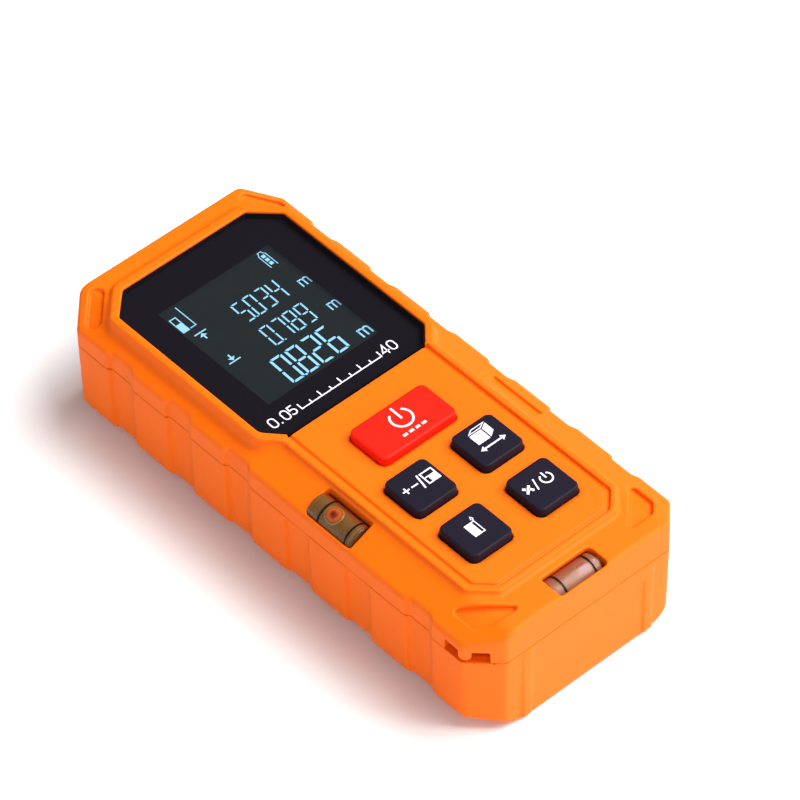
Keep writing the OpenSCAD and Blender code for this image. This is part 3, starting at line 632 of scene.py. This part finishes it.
def clear(name, tint, ior=1.49, rough=0.02):
    """Clear plastic or glass. Light reaches what lies behind it instead of being stopped."""
    s = Shader(name)
    s.set(Base_Color=tint, IOR=ior, Transmission_Weight=1.0,
          Roughness=s.between(s.noise(3, 2), rough, rough + 0.02))
    veil = s.node("ShaderNodeBsdfTransparent")
    s.put(veil.inputs["Color"], tint)
    return s.shaders(s.node("ShaderNodeLightPath").outputs["Is Shadow Ray"], s.bsdf, veil)


def print_ink(name, color, glow=0.0, rough=0.4, specular=0.5):
    s = Shader(name)
    s.set(Specular_IOR_Level=specular)
    tint = s.mix(s.noise(0.35, 3), shade(color, 0.92), color)
    s.set(Base_Color=tint, Roughness=s.between(s.noise(0.5), rough, rough + 0.15))
    if glow:
        s.set(Base_Color=(0.02, 0.03, 0.035, 1), Emission_Color=tint, Emission_Strength=glow)
    return s.material


def thin_window(name, rough=0.05, gloss_share=1.0):
    """A flat clear sheet: seen straight through, with the gloss of its top face."""
    s = Shader(name)
    rim = s.node("ShaderNodeFresnel")
    rim.inputs["IOR"].default_value = 1.49
    gloss = s.node("ShaderNodeBsdfGlossy")
    s.put(gloss.inputs["Roughness"], s.between(s.noise(4, 2), rough, rough + 0.05))
    front = s.math("SUBTRACT", 1, s.node("ShaderNodeNewGeometry").outputs["Backfacing"], clamp=True)
    share = s.math("MULTIPLY", s.math("MULTIPLY", rim.outputs[0], front), gloss_share)
    s.tree.nodes.remove(s.bsdf)
    return s.shaders(share, s.node("ShaderNodeBsdfTransparent"), gloss)


window_paint = thin_window("window_acrylic")
border_paint = print_ink("window_border_ink", srgb(22, 19, 25), rough=0.6, specular=0.0)
white_ink = print_ink("white_ink", srgb(232, 230, 242), specular=0.1)
digit_paint = print_ink("display_segment", srgb(116, 164, 190), glow=0.76, specular=0.0)
WINDOW_Z = (box_mm("display_lens")[0][2], box_mm("display_lens")[1][2])


# ---- printed marks
class Marks:
    """Flat marks between two heights, gathered into one thin closed mesh."""

    def __init__(self, heights):
        self.bm = bmesh.new()
        self.heights = heights

    def loops(self, points):
        """The points at the lower height, then at the upper one."""
        return [[self.bm.verts.new((x * MM, y * MM, z * MM)) for x, y in points] for z in self.heights]

    def polygon(self, points):
        area = sum(a[0] * b[1] - b[0] * a[1] for a, b in zip(points, points[1:] + points[:1]))
        if area < 0:
            points = points[::-1]
        low, high = self.loops(points)
        self.bm.faces.new(high)
        self.bm.faces.new(low[::-1])
        for i in range(len(points)):
            j = (i + 1) % len(points)
            self.bm.faces.new((low[i], low[j], high[j], high[i]))

    def box(self, x0, y0, x1, y1):
        self.polygon([(x0, y0), (x1, y0), (x1, y1), (x0, y1)])

    def ribbon(self, points, width, closed=False):
        """A stroke of even width with mitred corners."""
        p = [Vector(q) for q in points]
        n, left, right = len(p), [], []
        for i, q in enumerate(p):
            before = p[i - 1] if (i > 0 or closed) else None
            after = p[(i + 1) % n] if (i < n - 1 or closed) else None
            a = (q - before).normalized() if before is not None else (after - q).normalized()
            b = (after - q).normalized() if after is not None else a
            normal = Vector((-(a + b).y, (a + b).x)).normalized()
            reach = width / 2 / max(0.35, normal.dot(Vector((-a.y, a.x))))
            left.append(q + normal * reach)
            right.append(q - normal * reach)
        if not closed:
            self.polygon(left + right[::-1])
            return
        (l0, l1), (r0, r1) = self.loops(left), self.loops(right)
        for i in range(n):
            j = (i + 1) % n
            for quad in ((l1[i], l1[j], r1[j], r1[i]), (r0[i], r0[j], l0[j], l0[i]),
                         (l0[i], l0[j], l1[j], l1[i]), (r1[i], r1[j], r0[j], r0[i])):
                self.bm.faces.new(quad)

    def piece(self, name, material, body):
        bmesh.ops.recalc_face_normals(self.bm, faces=self.bm.faces)
        bmesh_piece(name, self.bm, material, body, smooth=False)


SEGMENTS = {"0": "abcdef", "2": "abged", "3": "abgcd", "4": "fgbc", "5": "afgcd",
            "6": "afgcde", "7": "abc", "8": "abcdefg", "9": "abcdfg"}
SEGMENT_GAP, SEGMENT_LEAN = 0.24, 0.03


def seven_segment(marks, text, x0, y0, pitch, w, h, t):
    """Slightly leaning seven-segment numbers; x0, y0 is the first digit's lower left."""
    half = h / 2
    for i, ch in enumerate(text.replace(".", "")):
        left, on = x0 + i * pitch, SEGMENTS[ch]

        def put(points):
            marks.polygon([(left + px + SEGMENT_LEAN * py, y0 + py) for px, py in points])

        def across(yc, inner):
            a, b = t / 2 + SEGMENT_GAP, w - t / 2 - SEGMENT_GAP
            if inner == 0:
                put([(a, yc), (a + t / 2, yc + t / 2), (b - t / 2, yc + t / 2), (b, yc),
                     (b - t / 2, yc - t / 2), (a + t / 2, yc - t / 2)])
            else:
                o, k = yc + inner * t / 2, yc - inner * t / 2
                put([(a - t / 4, o), (b + t / 4, o), (b - t / 2, k), (a + t / 2, k)])

        def down(xc, ya, yb, side):
            o, k = xc + side * t / 2, xc - side * t / 2
            high, low = yb > half, ya < half
            put([(o, ya + (0.35 * t if low else SEGMENT_GAP)), (o, yb - (0.35 * t if high else SEGMENT_GAP)),
                 (k, yb - t * (0.9 if high else 0.5)), (k, ya + t * (0.9 if low else 0.5))])

        for letter, *place in (("a", h - t / 2, 1), ("g", half, 0), ("d", t / 2, -1)):
            if letter in on:
                across(*place)
        for letter, *place in (("f", t / 2, half, h, -1), ("b", w - t / 2, half, h, 1),
                               ("e", t / 2, 0, half, -1), ("c", w - t / 2, 0, half, 1)):
            if letter in on:
                down(*place)
    if "." in text:
        cx = x0 + text.index(".") * pitch - (pitch - w) / 2 - 0.02
        marks.box(cx - t * 0.42, y0, cx + t * 0.42, y0 + t * 0.84)


def arc(cx, cy, r, a0, a1, n):
    """Points round a centre, from one angle to another in n steps."""
    return [(cx + r * math.cos(math.radians(a0 + (a1 - a0) * i / n)),
             cy + r * math.sin(math.radians(a0 + (a1 - a0) * i / n))) for i in range(n + 1)]


ROUND = 72  # corners of a turned piece


def lathe(name, profile, centre, along, material, *replaced):
    """A turned piece of the case: (radius, distance along) points about an axis through centre."""
    bm = bmesh.new()
    rings = []
    for r, s in profile:
        ring = []
        for k in range(1 if r == 0 else ROUND):
            a = 2 * math.pi * k / ROUND
            u, v = r * math.cos(a), r * math.sin(a)
            p = (u, s, v) if along == "Y" else (s, -u, v)
            ring.append(bm.verts.new([(c + q) * MM for c, q in zip(centre, p)]))
        rings.append(ring)
    # a profile that starts away from the axis is closed back to its start
    after = rings[1:] + ([rings[0]] if len(rings[0]) > 1 else [])
    for a, b in zip(rings, after):
        for k in range(ROUND):
            j = (k + 1) % ROUND
            bm.faces.new(([a[k], a[j]] if len(a) > 1 else a) + ([b[j], b[k]] if len(b) > 1 else b))
    bmesh.ops.recalc_face_normals(bm, faces=bm.faces)
    obj = bmesh_piece(name, bm, material, "case", *replaced)
    obj.data.set_sharp_from_angle(angle=math.radians(35))


# ---- case, keys, window
STEP = 0.3
field_piece("upper_case", upper_case, (-HW, -HL, 11.8), (HW, HL, RIM_TOP), STEP, case_paint, "case",
            "upper_shell", crisp=(SPLIT + SEAM, 1))
field_piece("lower_case", lower_case, (-HW, -HL - 0.1, 0), (HW, HL, 19), STEP, case_paint, "case",
            "lower_shell", crisp=(SPLIT - SEAM, -1))
field_piece("door_panel", battery_door, (-12.5, -51.4, 0), (12.5, -2.9, 3.6), STEP, case_paint,
            "battery_door", "battery_door")
field_piece("laser_end_panel", bezel, (-15.6, HL - 1.6, 3.2), (15.6, HL - 0.2, 16.6), 0.25, bezel_paint,
            "case", "front_bezel")
for key, (cx, cy, w, l) in KEYS.items():
    paint = red_paint if key == "measure" else black_paint
    reach = (w / 2 + 0.9, l / 2 + 0.9)
    field_piece("cap_" + key, key_cap(cx, cy, w, l), (cx - reach[0], cy - reach[1], 21.8),
                (cx + reach[0], cy + reach[1], KEY_TOP), 0.2, paint, "key_" + key, "key_" + key)
field_piece("window_glass", window_slab, (-19.4, 3, WINDOW_Z[0]), (19.4, 49.7, WINDOW_Z[1]), 0.22,
            window_paint, "case", "display_lens", flat=0.1)

# the black print under the window: a border round the view, and a wall up to the bevel
VIEW_X, VIEW_Y = 12.98, (11.73, 41.65)
border = Marks((24.37, 24.45))
for side in (1, -1):
    edge = [(0, 49.47), (14.33, 49.47), (19.27, 44.58), (19.27, 6.92), (16.0, 3.23), (0, 3.23),
            (0, VIEW_Y[0]), (VIEW_X, VIEW_Y[0]), (VIEW_X, VIEW_Y[1]), (0, VIEW_Y[1])]
    border.polygon([(side * px, py) for px, py in edge])
skirt = [(0, 49.38), (14.3, 49.38), (19.18, 44.54), (19.18, 6.96), (15.96, 3.32), (0, 3.32)]
skirt += [(-px, py) for px, py in skirt[-2:0:-1]]
border.heights = (24.45, WINDOW_Z[1] + 0.12)
border.ribbon(skirt, 0.2, closed=True)
border.piece("window_border", border_paint, "case")

# the scale printed in the border, with its end numbers
TICK, RULE_Y, RULE, STROKE = 2.33, 7.0, 0.13, 0.28
scale = Marks((24.44, 24.47))
scale.box(-4 * TICK - RULE, RULE_Y - RULE, 4 * TICK + RULE, RULE_Y + RULE)
for i in range(-4, 5):
    scale.box(i * TICK - RULE, RULE_Y + RULE, i * TICK + RULE, 8.45 if i % 2 == 0 else 7.85)
for cx in (-15.35, -12.5, 12.5):
    cy, r, straight = 7.85, 0.65, 0.475
    zero = arc(cx, cy + straight, r, 0, 180, 10) + arc(cx, cy - straight, r, 180, 360, 10)
    scale.ribbon(zero, STROKE, closed=True)
scale.box(-14.2, 6.62, -13.88, 6.94)
scale.ribbon([(-10.3, 8.97), (-11.3, 8.97), (-11.38, 8.05)] + arc(-10.9, 7.5, 0.62, 118, -150, 14), STROKE)
scale.ribbon([(11.0, 6.62), (11.0, 9.0), (9.95, 7.35), (11.45, 7.35)], STROKE)
scale.piece("window_scale", white_ink, "case")

# lit segments of the display: three numbers with their unit, then the small signs
LCD_TOP = box_mm("lcd_panel")[1][2]
OX, OY = 0.25, 0.29  # the whole picture's shift
lit = Marks((LCD_TOP + 0.005, LCD_TOP + 0.03))
seven_segment(lit, "5.034", -2.45 + OX, 29.27 + OY, 2.64, 2.05, 5.3, 0.33)
seven_segment(lit, "0.789", -2.55 + OX, 21.6 + OY, 2.66, 2.05, 5.25, 0.33)
seven_segment(lit, "0.826", -6.3 + OX, 12.65 + OY, 3.5, 2.85, 7.1, 0.5)
for x0, y0, w, h, t in ((10.62, 29.27, 2.15, 1.95, 0.28), (10.6, 21.4, 2.15, 1.95, 0.28),
                        (10.15, 12.6, 2.45, 2.2, 0.34)):
    x0, y0, r = x0 + OX, y0 + OY, (w - t) / 4
    lit.box(x0, y0, x0 + t, y0 + h)
    for k in (0, 1):
        foot = x0 + t / 2 + k * (w - t) / 2
        lit.ribbon(arc(foot + r, y0 + h - r - t / 2, r, 180, 0, 9) + [(foot + 2 * r, y0)], t)

# where the length is measured from: the meter's outline with its rear half filled, and a bracket
mx, my = -12.6 + OX, 35.15 + OY
lit.ribbon([(mx + 0.1, my), (mx + 1.4, my), (mx + 1.4, my + 3.9), (mx + 0.1, my + 3.9)], 0.22, closed=True)
lit.box(mx + 0.2, my + 0.1, mx + 1.3, my + 2.25)
lit.ribbon([(mx + 3.03, my + 5.75), (mx + 3.03, my + 0.1), (mx + 1.75, my + 0.1)], 0.2)

# the cell sign
bx, by = 10.38 + OX, 36.8 + OY
lit.ribbon([(bx - 0.78, by), (bx - 0.78, by + 3.5), (bx - 0.42, by + 4.0), (bx - 0.42, by + 4.35),
            (bx + 0.42, by + 4.35), (bx + 0.42, by + 4.0), (bx + 0.78, by + 3.5), (bx + 0.78, by)], 0.17)
for k in range(3):
    lit.box(bx - 0.36, by + 0.55 + 1.08 * k, bx + 0.36, by + 1.35 + 1.08 * k)

# an arrow to a bar, upward and downward
x0 = -10.3 + OX
for y0, up, bar, tip, tail in ((31.35 + OY, 1, 1.9, 1.65, 0), (23.75 + OY, -1, 0.1, 0.35, 2.0)):
    lit.box(x0 - 1.3, y0 + bar - 0.14, x0 + 1.3, y0 + bar + 0.14)
    lit.polygon([(x0 - 0.75, y0 + tip - up * 0.8), (x0 + 0.75, y0 + tip - up * 0.8), (x0, y0 + tip)])
    ends = sorted((y0 + tip - up * 0.75, y0 + tail))
    lit.box(x0 - 0.17, ends[0], x0 + 0.17, ends[1])
lit.piece("display_segments", digit_paint, "case")

# printed marks on the keys
PRINT = (KEY_TOP - 0.02, KEY_TOP + 0.015)

# a power ring, and a dashed line under it
mark = Marks(PRINT)
mark.ribbon(arc(0.35, -8.15, 2.1, 128, 412, 40), 0.42)
mark.box(0.14, -8.3, 0.56, -5.2)
for k in range(4):
    mark.box(-2.3 + 1.45 * k, -11.9, -1.35 + 1.45 * k, -11.35)
mark.piece("mark_measure", white_ink, "key_measure")

# a solid box, and a double arrow under it
mark = Marks(PRINT)
mark.polygon([(5.85, -22.1), (8.55, -22.1), (8.55, -19.55), (5.85, -19.55)])
mark.polygon([(8.85, -22.0), (10.15, -21.1), (10.15, -18.8), (8.85, -19.55)])
mark.ribbon([(6.1, -19.2), (7.1, -18.55), (9.95, -18.55), (8.75, -19.2)], 0.2, closed=True)
mark.box(5.9, -23.6, 10.1, -23.25)
mark.polygon([(5.1, -23.42), (6.1, -24.1), (6.1, -22.75)])
mark.polygon([(10.9, -23.42), (9.9, -22.75), (9.9, -24.1)])
mark.piece("mark_units", white_ink, "key_units")

# plus, minus, slash and a store
mark = Marks(PRINT)
mark.box(-11.35, -21.7, -9.85, -21.4)
mark.box(-10.75, -22.3, -10.45, -21.7)
mark.box(-10.75, -21.4, -10.45, -20.8)
mark.box(-9.4, -21.7, -7.9, -21.4)
mark.polygon([(-7.75, -23.2), (-7.4, -23.2), (-6.8, -20.0), (-7.15, -20.0)])
mark.ribbon([(-6.4, -22.9), (-3.9, -22.9), (-3.9, -20.25), (-6.4, -20.25)], 0.28, closed=True)
mark.box(-5.6, -22.75, -4.05, -21.65)
mark.box(-6.26, -21.6, -4.04, -21.35)
mark.piece("mark_memory", white_ink, "key_memory")

# a cross, slash and a power ring
mark = Marks(PRINT)
mark.ribbon([(4.2, -36.25), (5.7, -34.75)], 0.5)
mark.polygon([(4.02, -34.93), (4.38, -34.57), (4.86, -35.05), (4.5, -35.41)])
mark.polygon([(5.04, -35.59), (5.4, -35.23), (5.88, -36.07), (5.52, -36.43)])
mark.polygon([(6.2, -36.7), (6.5, -36.7), (7.3, -34.2), (7.0, -34.2)])
mark.ribbon(arc(9.2, -35.5, 1.15, 125, 415, 30), 0.32)
mark.box(9.04, -35.5, 9.36, -34.0)
mark.piece("mark_clear", white_ink, "key_clear")

# the meter's rear end and an arrow
mark = Marks(PRINT)
mark.box(-9.0, -37.4, -7.35, -34.3)
mark.ribbon([(-7.3, -37.3), (-6.75, -37.3), (-6.75, -34.4), (-7.3, -34.4)], 0.2)
mark.box(-6.82, -34.3, -6.58, -33.7)
mark.polygon([(-7.1, -33.95), (-6.3, -33.95), (-6.7, -33.15)])
mark.piece("mark_reference", white_ink, "key_reference")


# ---- vials
def tinted(name, through, body, pocket, axis, middle):
    """Coloured liquid: part seen through, part its own colour, with a painted reflection of the orange pocket
    wall that grows towards the inner side.
    """
    s = Shader(name)
    # painted reflection of the orange pocket wall: none at the middle, full towards the case's inside
    pocket_reflection_share = s.between(s.part(axis), 0, 1, (middle + 0.2) * MM, (middle + 2.4) * MM)
    own = s.mix(s.noise(1.5, 2), shade(body, 0.85), body)
    s.set(Base_Color=s.mix(pocket_reflection_share, own, pocket),
          Roughness=s.between(s.noise(1, 2), 0.25, 0.35), Specular_IOR_Level=0.2)
    veil = s.node("ShaderNodeBsdfTransparent")
    s.put(veil.inputs["Color"], through)
    return s.shaders(0.6, veil, s.bsdf)


def bubble_look(name, centre, radius, rings, painted_shine):
    """Painted rings of light and shade about the bubble's middle, standing in for how the curved spirit
    surface reflects and bends the light.
    """
    s = Shader(name)
    from_centre = s.node("ShaderNodeVectorMath", operation="SUBTRACT")
    s.put(from_centre.inputs[0], s.place)
    s.put(from_centre.inputs[1], [c * MM for c in centre])
    away = s.node("ShaderNodeVectorMath", operation="LENGTH")
    s.put(away.inputs[0], from_centre.outputs["Vector"])
    stops = [(at, srgb(*color)) for at, color in rings]
    painted_ring_colors = s.ramp(s.between(away.outputs["Value"], 0, 1, 0, radius * MM), stops)
    # a painted sheen colour mixed in here and there over the painted rings
    s.set(Base_Color=s.mix(s.between(s.noise(0.8, 2), -0.1, 0.3), painted_ring_colors, painted_shine),
          Roughness=s.between(s.noise(0.5, 2), 0.2, 0.3), Specular_IOR_Level=0.3)
    return s.material


BORE = VIAL_R - 0.15
BUBBLE_THICK, BUBBLE_OUTWARD = 0.12, 0.85
tube_paint = thin_window("vial_acrylic", 0.15, 0.45)
line_paint = print_ink("vial_line_ink", srgb(18, 12, 12), specular=0.1)
# each spirit's last colour is the painted reflection of the orange pocket wall, laid in towards the case's
# inside
side_spirit = tinted("vial_spirit_side", (0.62, 0.66, 0.5, 1), srgb(134, 92, 48), srgb(160, 40, 6), "X",
                     SIDE_VIAL[0])
end_spirit = tinted("vial_spirit_end", (0.8, 0.8, 0.7, 1), srgb(170, 110, 80), srgb(190, 46, 8), "Y",
                    END_VIAL[1])
# painted rings of light and shade on a bubble, from its middle out: share of the radius, screen colour
SIDE_BUBBLE_PAINTED_LIGHT = [(0.0, (50, 8, 14)), (0.26, (92, 18, 20)), (0.45, (165, 46, 12)), (0.62, (150, 82, 26)),
              (0.76, (140, 46, 12)), (0.88, (100, 60, 26)), (0.96, (138, 112, 56))]
END_BUBBLE_PAINTED_LIGHT = [(0.0, (116, 96, 110)), (0.25, (122, 86, 92)), (0.42, (142, 64, 52)), (0.6, (130, 82, 62)),
             (0.76, (146, 54, 40)), (0.88, (128, 78, 54)), (0.96, (160, 114, 74))]


def vial(name, centre, along, half, rounding, spirit, lines):
    """A tube with its spirit, stopper and two lines."""
    # the side vial's blind end comes first along its axis, the end vial's last
    flip = 1 if along == "Y" else -1
    blind, mouth, plug = -flip * (half - 0.7), flip * half, flip * (half - 1.2)
    tube = [(0, -mouth)] + arc(VIAL_R - rounding, -flip * (half - rounding), rounding, -90 * flip, 0, 4)
    tube += [(VIAL_R, flip * (half - 0.4)), (VIAL_R - 0.12, flip * (half - 0.12)), (VIAL_R - 0.4, mouth),
             (BORE, mouth), (BORE, blind + flip * 0.3), (BORE - 0.3, blind), (0, blind)]
    lathe(name + "_tube", tube, centre, along, tube_paint, name + "_vial_tube")
    fill = [(0, blind - flip * 0.02), (BORE - 0.28, blind - flip * 0.02), (BORE + 0.02, blind + flip * 0.28),
            (BORE + 0.02, plug), (0, plug)]
    lathe(name + "_spirit", fill, centre, along, spirit, name + "_vial_fluid")
    ends = (plug + flip * 0.02, mouth - flip * 0.02)
    stopper = [(0, ends[0]), (BORE + 0.01, ends[0]), (BORE + 0.01, ends[1]), (0, ends[1])]
    lathe(name + "_stopper", stopper, centre, along, spirit, name + "_vial_plug")
    for k, at in enumerate(lines):
        inner, outer, near, far = VIAL_R - 0.03, VIAL_R + 0.02, at - 0.17, at + 0.17
        band = [(inner, near), (outer, near), (outer, far), (inner, far)]
        lathe(f"{name}_line_{k}", band, centre, along, line_paint)


def bubble(name, centre, along, offset, size, rings, painted_shine):
    """A thin lens laid against the top of the bore, a little towards the outside."""
    def laid(q):
        turn = (q.x * size - BUBBLE_OUTWARD) / BORE
        out = BORE + q.z * BUBBLE_THICK
        across, run, up = out * math.sin(turn), offset + q.y * size, out * math.cos(turn)
        return Vector(centre) + Vector((across, run, up) if along == "Y" else (run, across, up))

    bm = bmesh.new()
    bmesh.ops.create_uvsphere(bm, u_segments=48, v_segments=32, radius=1)
    for v in bm.verts:
        v.co = laid(v.co) * MM
    look = bubble_look("bubble_" + name, laid(Vector((0, 0, 1))), size, rings, painted_shine)
    bmesh_piece(name + "_bubble_skin", bm, look, name + "_bubble", name + "_bubble")


vial("side", SIDE_VIAL, "Y", SIDE_HALF, 0.4, side_spirit, (2.8, -4.1))
bubble("side", SIDE_VIAL, "Y", 0.6, 1.85, SIDE_BUBBLE_PAINTED_LIGHT, srgb(190, 120, 50))
vial("end", END_VIAL, "X", END_HALF, 0.9, end_spirit, (3.3, -3.6))
bubble("end", END_VIAL, "X", 1.6, 1.55, END_BUBBLE_PAINTED_LIGHT, srgb(140, 112, 112))


# ---- materials of the CAD nodes that stay
def metal(name, color, rough=0.3):
    """Bare metal with fine scratches round it."""
    s = Shader(name)
    scratch = s.noise(0.5, 4, 0.7, stretch=(1, 1, 12))
    tint = s.mix(s.noise(2.5, 3), shade(color, 0.85), color)
    s.set(Base_Color=tint, Metallic=1.0, Roughness=s.between(scratch, rough - 0.08, rough + 0.14),
          Normal=s.bump(scratch, 0.008, 0.25))
    return s.material


def soft(name, color, rough=0.6):
    return moulded(name, color, rough, grain_mm=0.3, depth_mm=0.015)


def board_paint():
    """Green solder mask with faint tracks and gilt pads."""
    s = Shader("circuit_board")
    brick = s.node("ShaderNodeTexBrick")
    s.put(brick.inputs["Vector"], s.place)
    brick.inputs["Scale"].default_value = 420
    brick.inputs["Mortar Size"].default_value = 0.035
    brick.inputs["Color1"].default_value = brick.inputs["Color2"].default_value = (0, 0, 0, 1)
    brick.inputs["Mortar"].default_value = (1, 1, 1, 1)
    dots = s.node("ShaderNodeTexVoronoi")
    s.put(dots.inputs["Vector"], s.place)
    dots.inputs["Scale"].default_value = 330
    pads = s.ramp(dots.outputs["Distance"], [(0.10, (1, 1, 1, 1)), (0.14, (0, 0, 0, 1))])
    tint = s.mix(brick.outputs["Color"], srgb(10, 74, 44), srgb(26, 110, 66))
    tint = s.mix(pads, tint, srgb(205, 170, 90))
    s.set(Base_Color=tint, Roughness=s.between(pads, 0.32, 0.45), Metallic=s.between(pads, 0.0, 0.8),
          Normal=s.bump(brick.outputs["Color"], 0.02, 0.4))
    return s.material


def cell_paint():
    """A cell's sleeve, banded along its length. The two cells lie head to tail, one each side of X = 0."""
    s = Shader("cell_sleeve")
    head = s.math("SIGN", s.part("X"))
    run = s.math("MULTIPLY", s.math("ADD", s.part("Y"), 27 * MM), head)
    bands = s.ramp(s.between(run, 0, 1, -25 * MM, 25 * MM),
                   [(0.0, srgb(165, 165, 168)), (0.06, srgb(24, 26, 30)), (0.70, srgb(24, 26, 30)),
                    (0.715, srgb(190, 120, 50)), (0.93, srgb(190, 120, 50)), (0.95, srgb(170, 170, 172))])
    bands.node.color_ramp.interpolation = "CONSTANT"
    s.set(Base_Color=bands, Metallic=0.5, Roughness=s.between(s.noise(0.8, 3), 0.25, 0.4),
          Normal=s.bump(s.noise(1.2, 3), 0.01, 0.2))
    return s.material


lcd = Shader("display_glass")
lcd_tint = lcd.mix(lcd.noise(6, 2), srgb(49, 55, 58), srgb(53, 60, 63))
lcd.set(Base_Color=srgb(14, 16, 17), Roughness=lcd.between(lcd.noise(2), 0.4, 0.5),
        Specular_IOR_Level=0.0, Emission_Color=lcd_tint, Emission_Strength=0.5)
steel = metal("steel", srgb(180, 182, 186), 0.28)
contact = metal("contact_steel", srgb(205, 203, 196), 0.22)
green = board_paint()
pin = soft("plunger_plastic", srgb(222, 220, 206))
PAINT = {
    "shell_screws": steel,
    "board_screws": steel,
    "optics_screws": steel,
    "lens_tape": soft("foam_tape", srgb(60, 60, 62), 0.8),
    "lcd_panel": lcd.material,
    "lcd_frame": soft("white_plastic", srgb(225, 225, 220), 0.5),
    "lcd_backlight": soft("light_guide", srgb(220, 228, 235), 0.25),
    "zebra_strip": soft("elastomer_strip", srgb(225, 180, 190)),
    "keypad_mat": soft("silicone_mat", srgb(80, 80, 84), 0.65),
    "switch_bodies": soft("switch_plastic", srgb(40, 40, 42)),
    "laser_window": clear("laser_window_glass", (0.95, 0.97, 1, 1)),
    "receiver_lens": clear("receiving_lens_glass", (0.93, 0.96, 1, 1), 1.52),
    "collimator_lens": clear("collimator_glass", (0.95, 0.97, 1, 1), 1.52),
    "receiver_filter": clear("red_filter_glass", srgb(170, 10, 14), 1.5, 0.05),
    "optics_holder": soft("holder_plastic", srgb(24, 24, 26), 0.55),
    "laser_barrel": metal("brass", srgb(200, 160, 84)),
    "laser_diode": metal("gilt_can", srgb(214, 176, 104), 0.25),
    "detector": metal("detector_can", srgb(196, 186, 160), 0.25),
    "crystal": metal("crystal_can", srgb(190, 192, 196)),
    "buzzer": soft("buzzer_plastic", srgb(26, 26, 28), 0.4),
    "processor": soft("chip_resin", srgb(30, 31, 33), 0.55),
    "capacitors": soft("capacitor_ceramic", srgb(176, 140, 100), 0.5),
    "cable_socket": soft("socket_plastic", srgb(232, 226, 206)),
    "optics_cable": soft("flex_film", srgb(190, 120, 40), 0.3),
    "main_board": green,
    "detector_board": green,
    "battery_cells": cell_paint(),
    "battery_springs": contact,
    "bridge_contact": contact,
    "positive_contact": contact,
    "negative_contact": contact,
}
for name, obj in NODES.items():
    if not obj.hide_render:
        obj.data.materials.clear()
        obj.data.materials.append(PAINT.get(name, pin))

# ---- floor, light, camera
floor_mesh = bpy.data.meshes.new("floor")
floor_mesh.from_pydata([(-6, -6, 0), (6, -6, 0), (6, 6, 0), (-6, 6, 0)], [], [(0, 1, 2, 3)])
floor = in_scene("floor", floor_mesh)
floor.location.z = cad_bounds[0][2] - 0.0002
paper = Shader("floor_paper")
paper.set(Base_Color=(0.93, 0.93, 0.93, 1), Roughness=0.9, Specular_IOR_Level=0.1)
floor_mesh.materials.append(paper.material)


def softbox(name, at, aim, size, watts, height=None):
    light = bpy.data.lights.new(name, "AREA")
    light.shape, light.size, light.size_y, light.energy = "RECTANGLE", size, height or size, watts
    obj = in_scene(name, light)
    obj.location = at
    obj.rotation_euler = (Vector(aim) - Vector(at)).to_track_quat("-Z", "Y").to_euler()


softbox("key_light", (0.42, -0.25, 0.70), (0, 0, 0.01), 0.8, 17.0)
softbox("low_light", (0.12, -0.62, 0.05), (0, 0, 0.015), 0.5, 1.0, height=0.12)

# a bright room, dark in the directions that the top face mirrors to the camera
MIRRORED = (0.4518, 0.5148, 0.7286)
world = bpy.data.worlds.new("studio")
bpy.context.scene.world = world
world.use_nodes = True
tree = world.node_tree
place = tree.nodes.new("ShaderNodeTexCoord").outputs["Generated"]
facing = tree.nodes.new("ShaderNodeVectorMath")
facing.operation = "DOT_PRODUCT"
tree.links.new(place, facing.inputs[0])
facing.inputs[1].default_value = MIRRORED
fade = tree.nodes.new("ShaderNodeMapRange")
fade.inputs["From Min"].default_value, fade.inputs["From Max"].default_value = 0.0, 0.7
fade.inputs["To Min"].default_value, fade.inputs["To Max"].default_value = 0.95, 0.06
tree.links.new(facing.outputs["Value"], fade.inputs["Value"])
tree.links.new(fade.outputs["Result"], tree.nodes["Background"].inputs["Strength"])
tree.nodes["Background"].inputs["Color"].default_value = (1, 1, 1, 1)

AZIMUTH, ELEVATION, ROLL = math.radians(-41.27), math.radians(46.77), math.radians(-1.11)
CAMERA_AT = Vector((-0.4296, -0.4978, 0.7247))
back = Vector((math.sin(AZIMUTH) * math.cos(ELEVATION), -math.cos(AZIMUTH) * math.cos(ELEVATION),
               math.sin(ELEVATION)))
level = Vector((math.cos(AZIMUTH), math.sin(AZIMUTH), 0))
rise = back.cross(level)
right = level * math.cos(ROLL) + rise * math.sin(ROLL)
up = rise * math.cos(ROLL) - level * math.sin(ROLL)
camera = in_scene("camera", bpy.data.cameras.new("camera"))
camera.data.sensor_width, camera.data.lens = 36, 247.5
camera.data.clip_start = 0.02
camera.matrix_world = Matrix.Translation(CAMERA_AT) @ Matrix((right, up, back)).transposed().to_4x4()
bpy.context.scene.camera = camera
bpy.context.scene.view_settings.view_transform = "Standard"

bpy.context.view_layer.update()
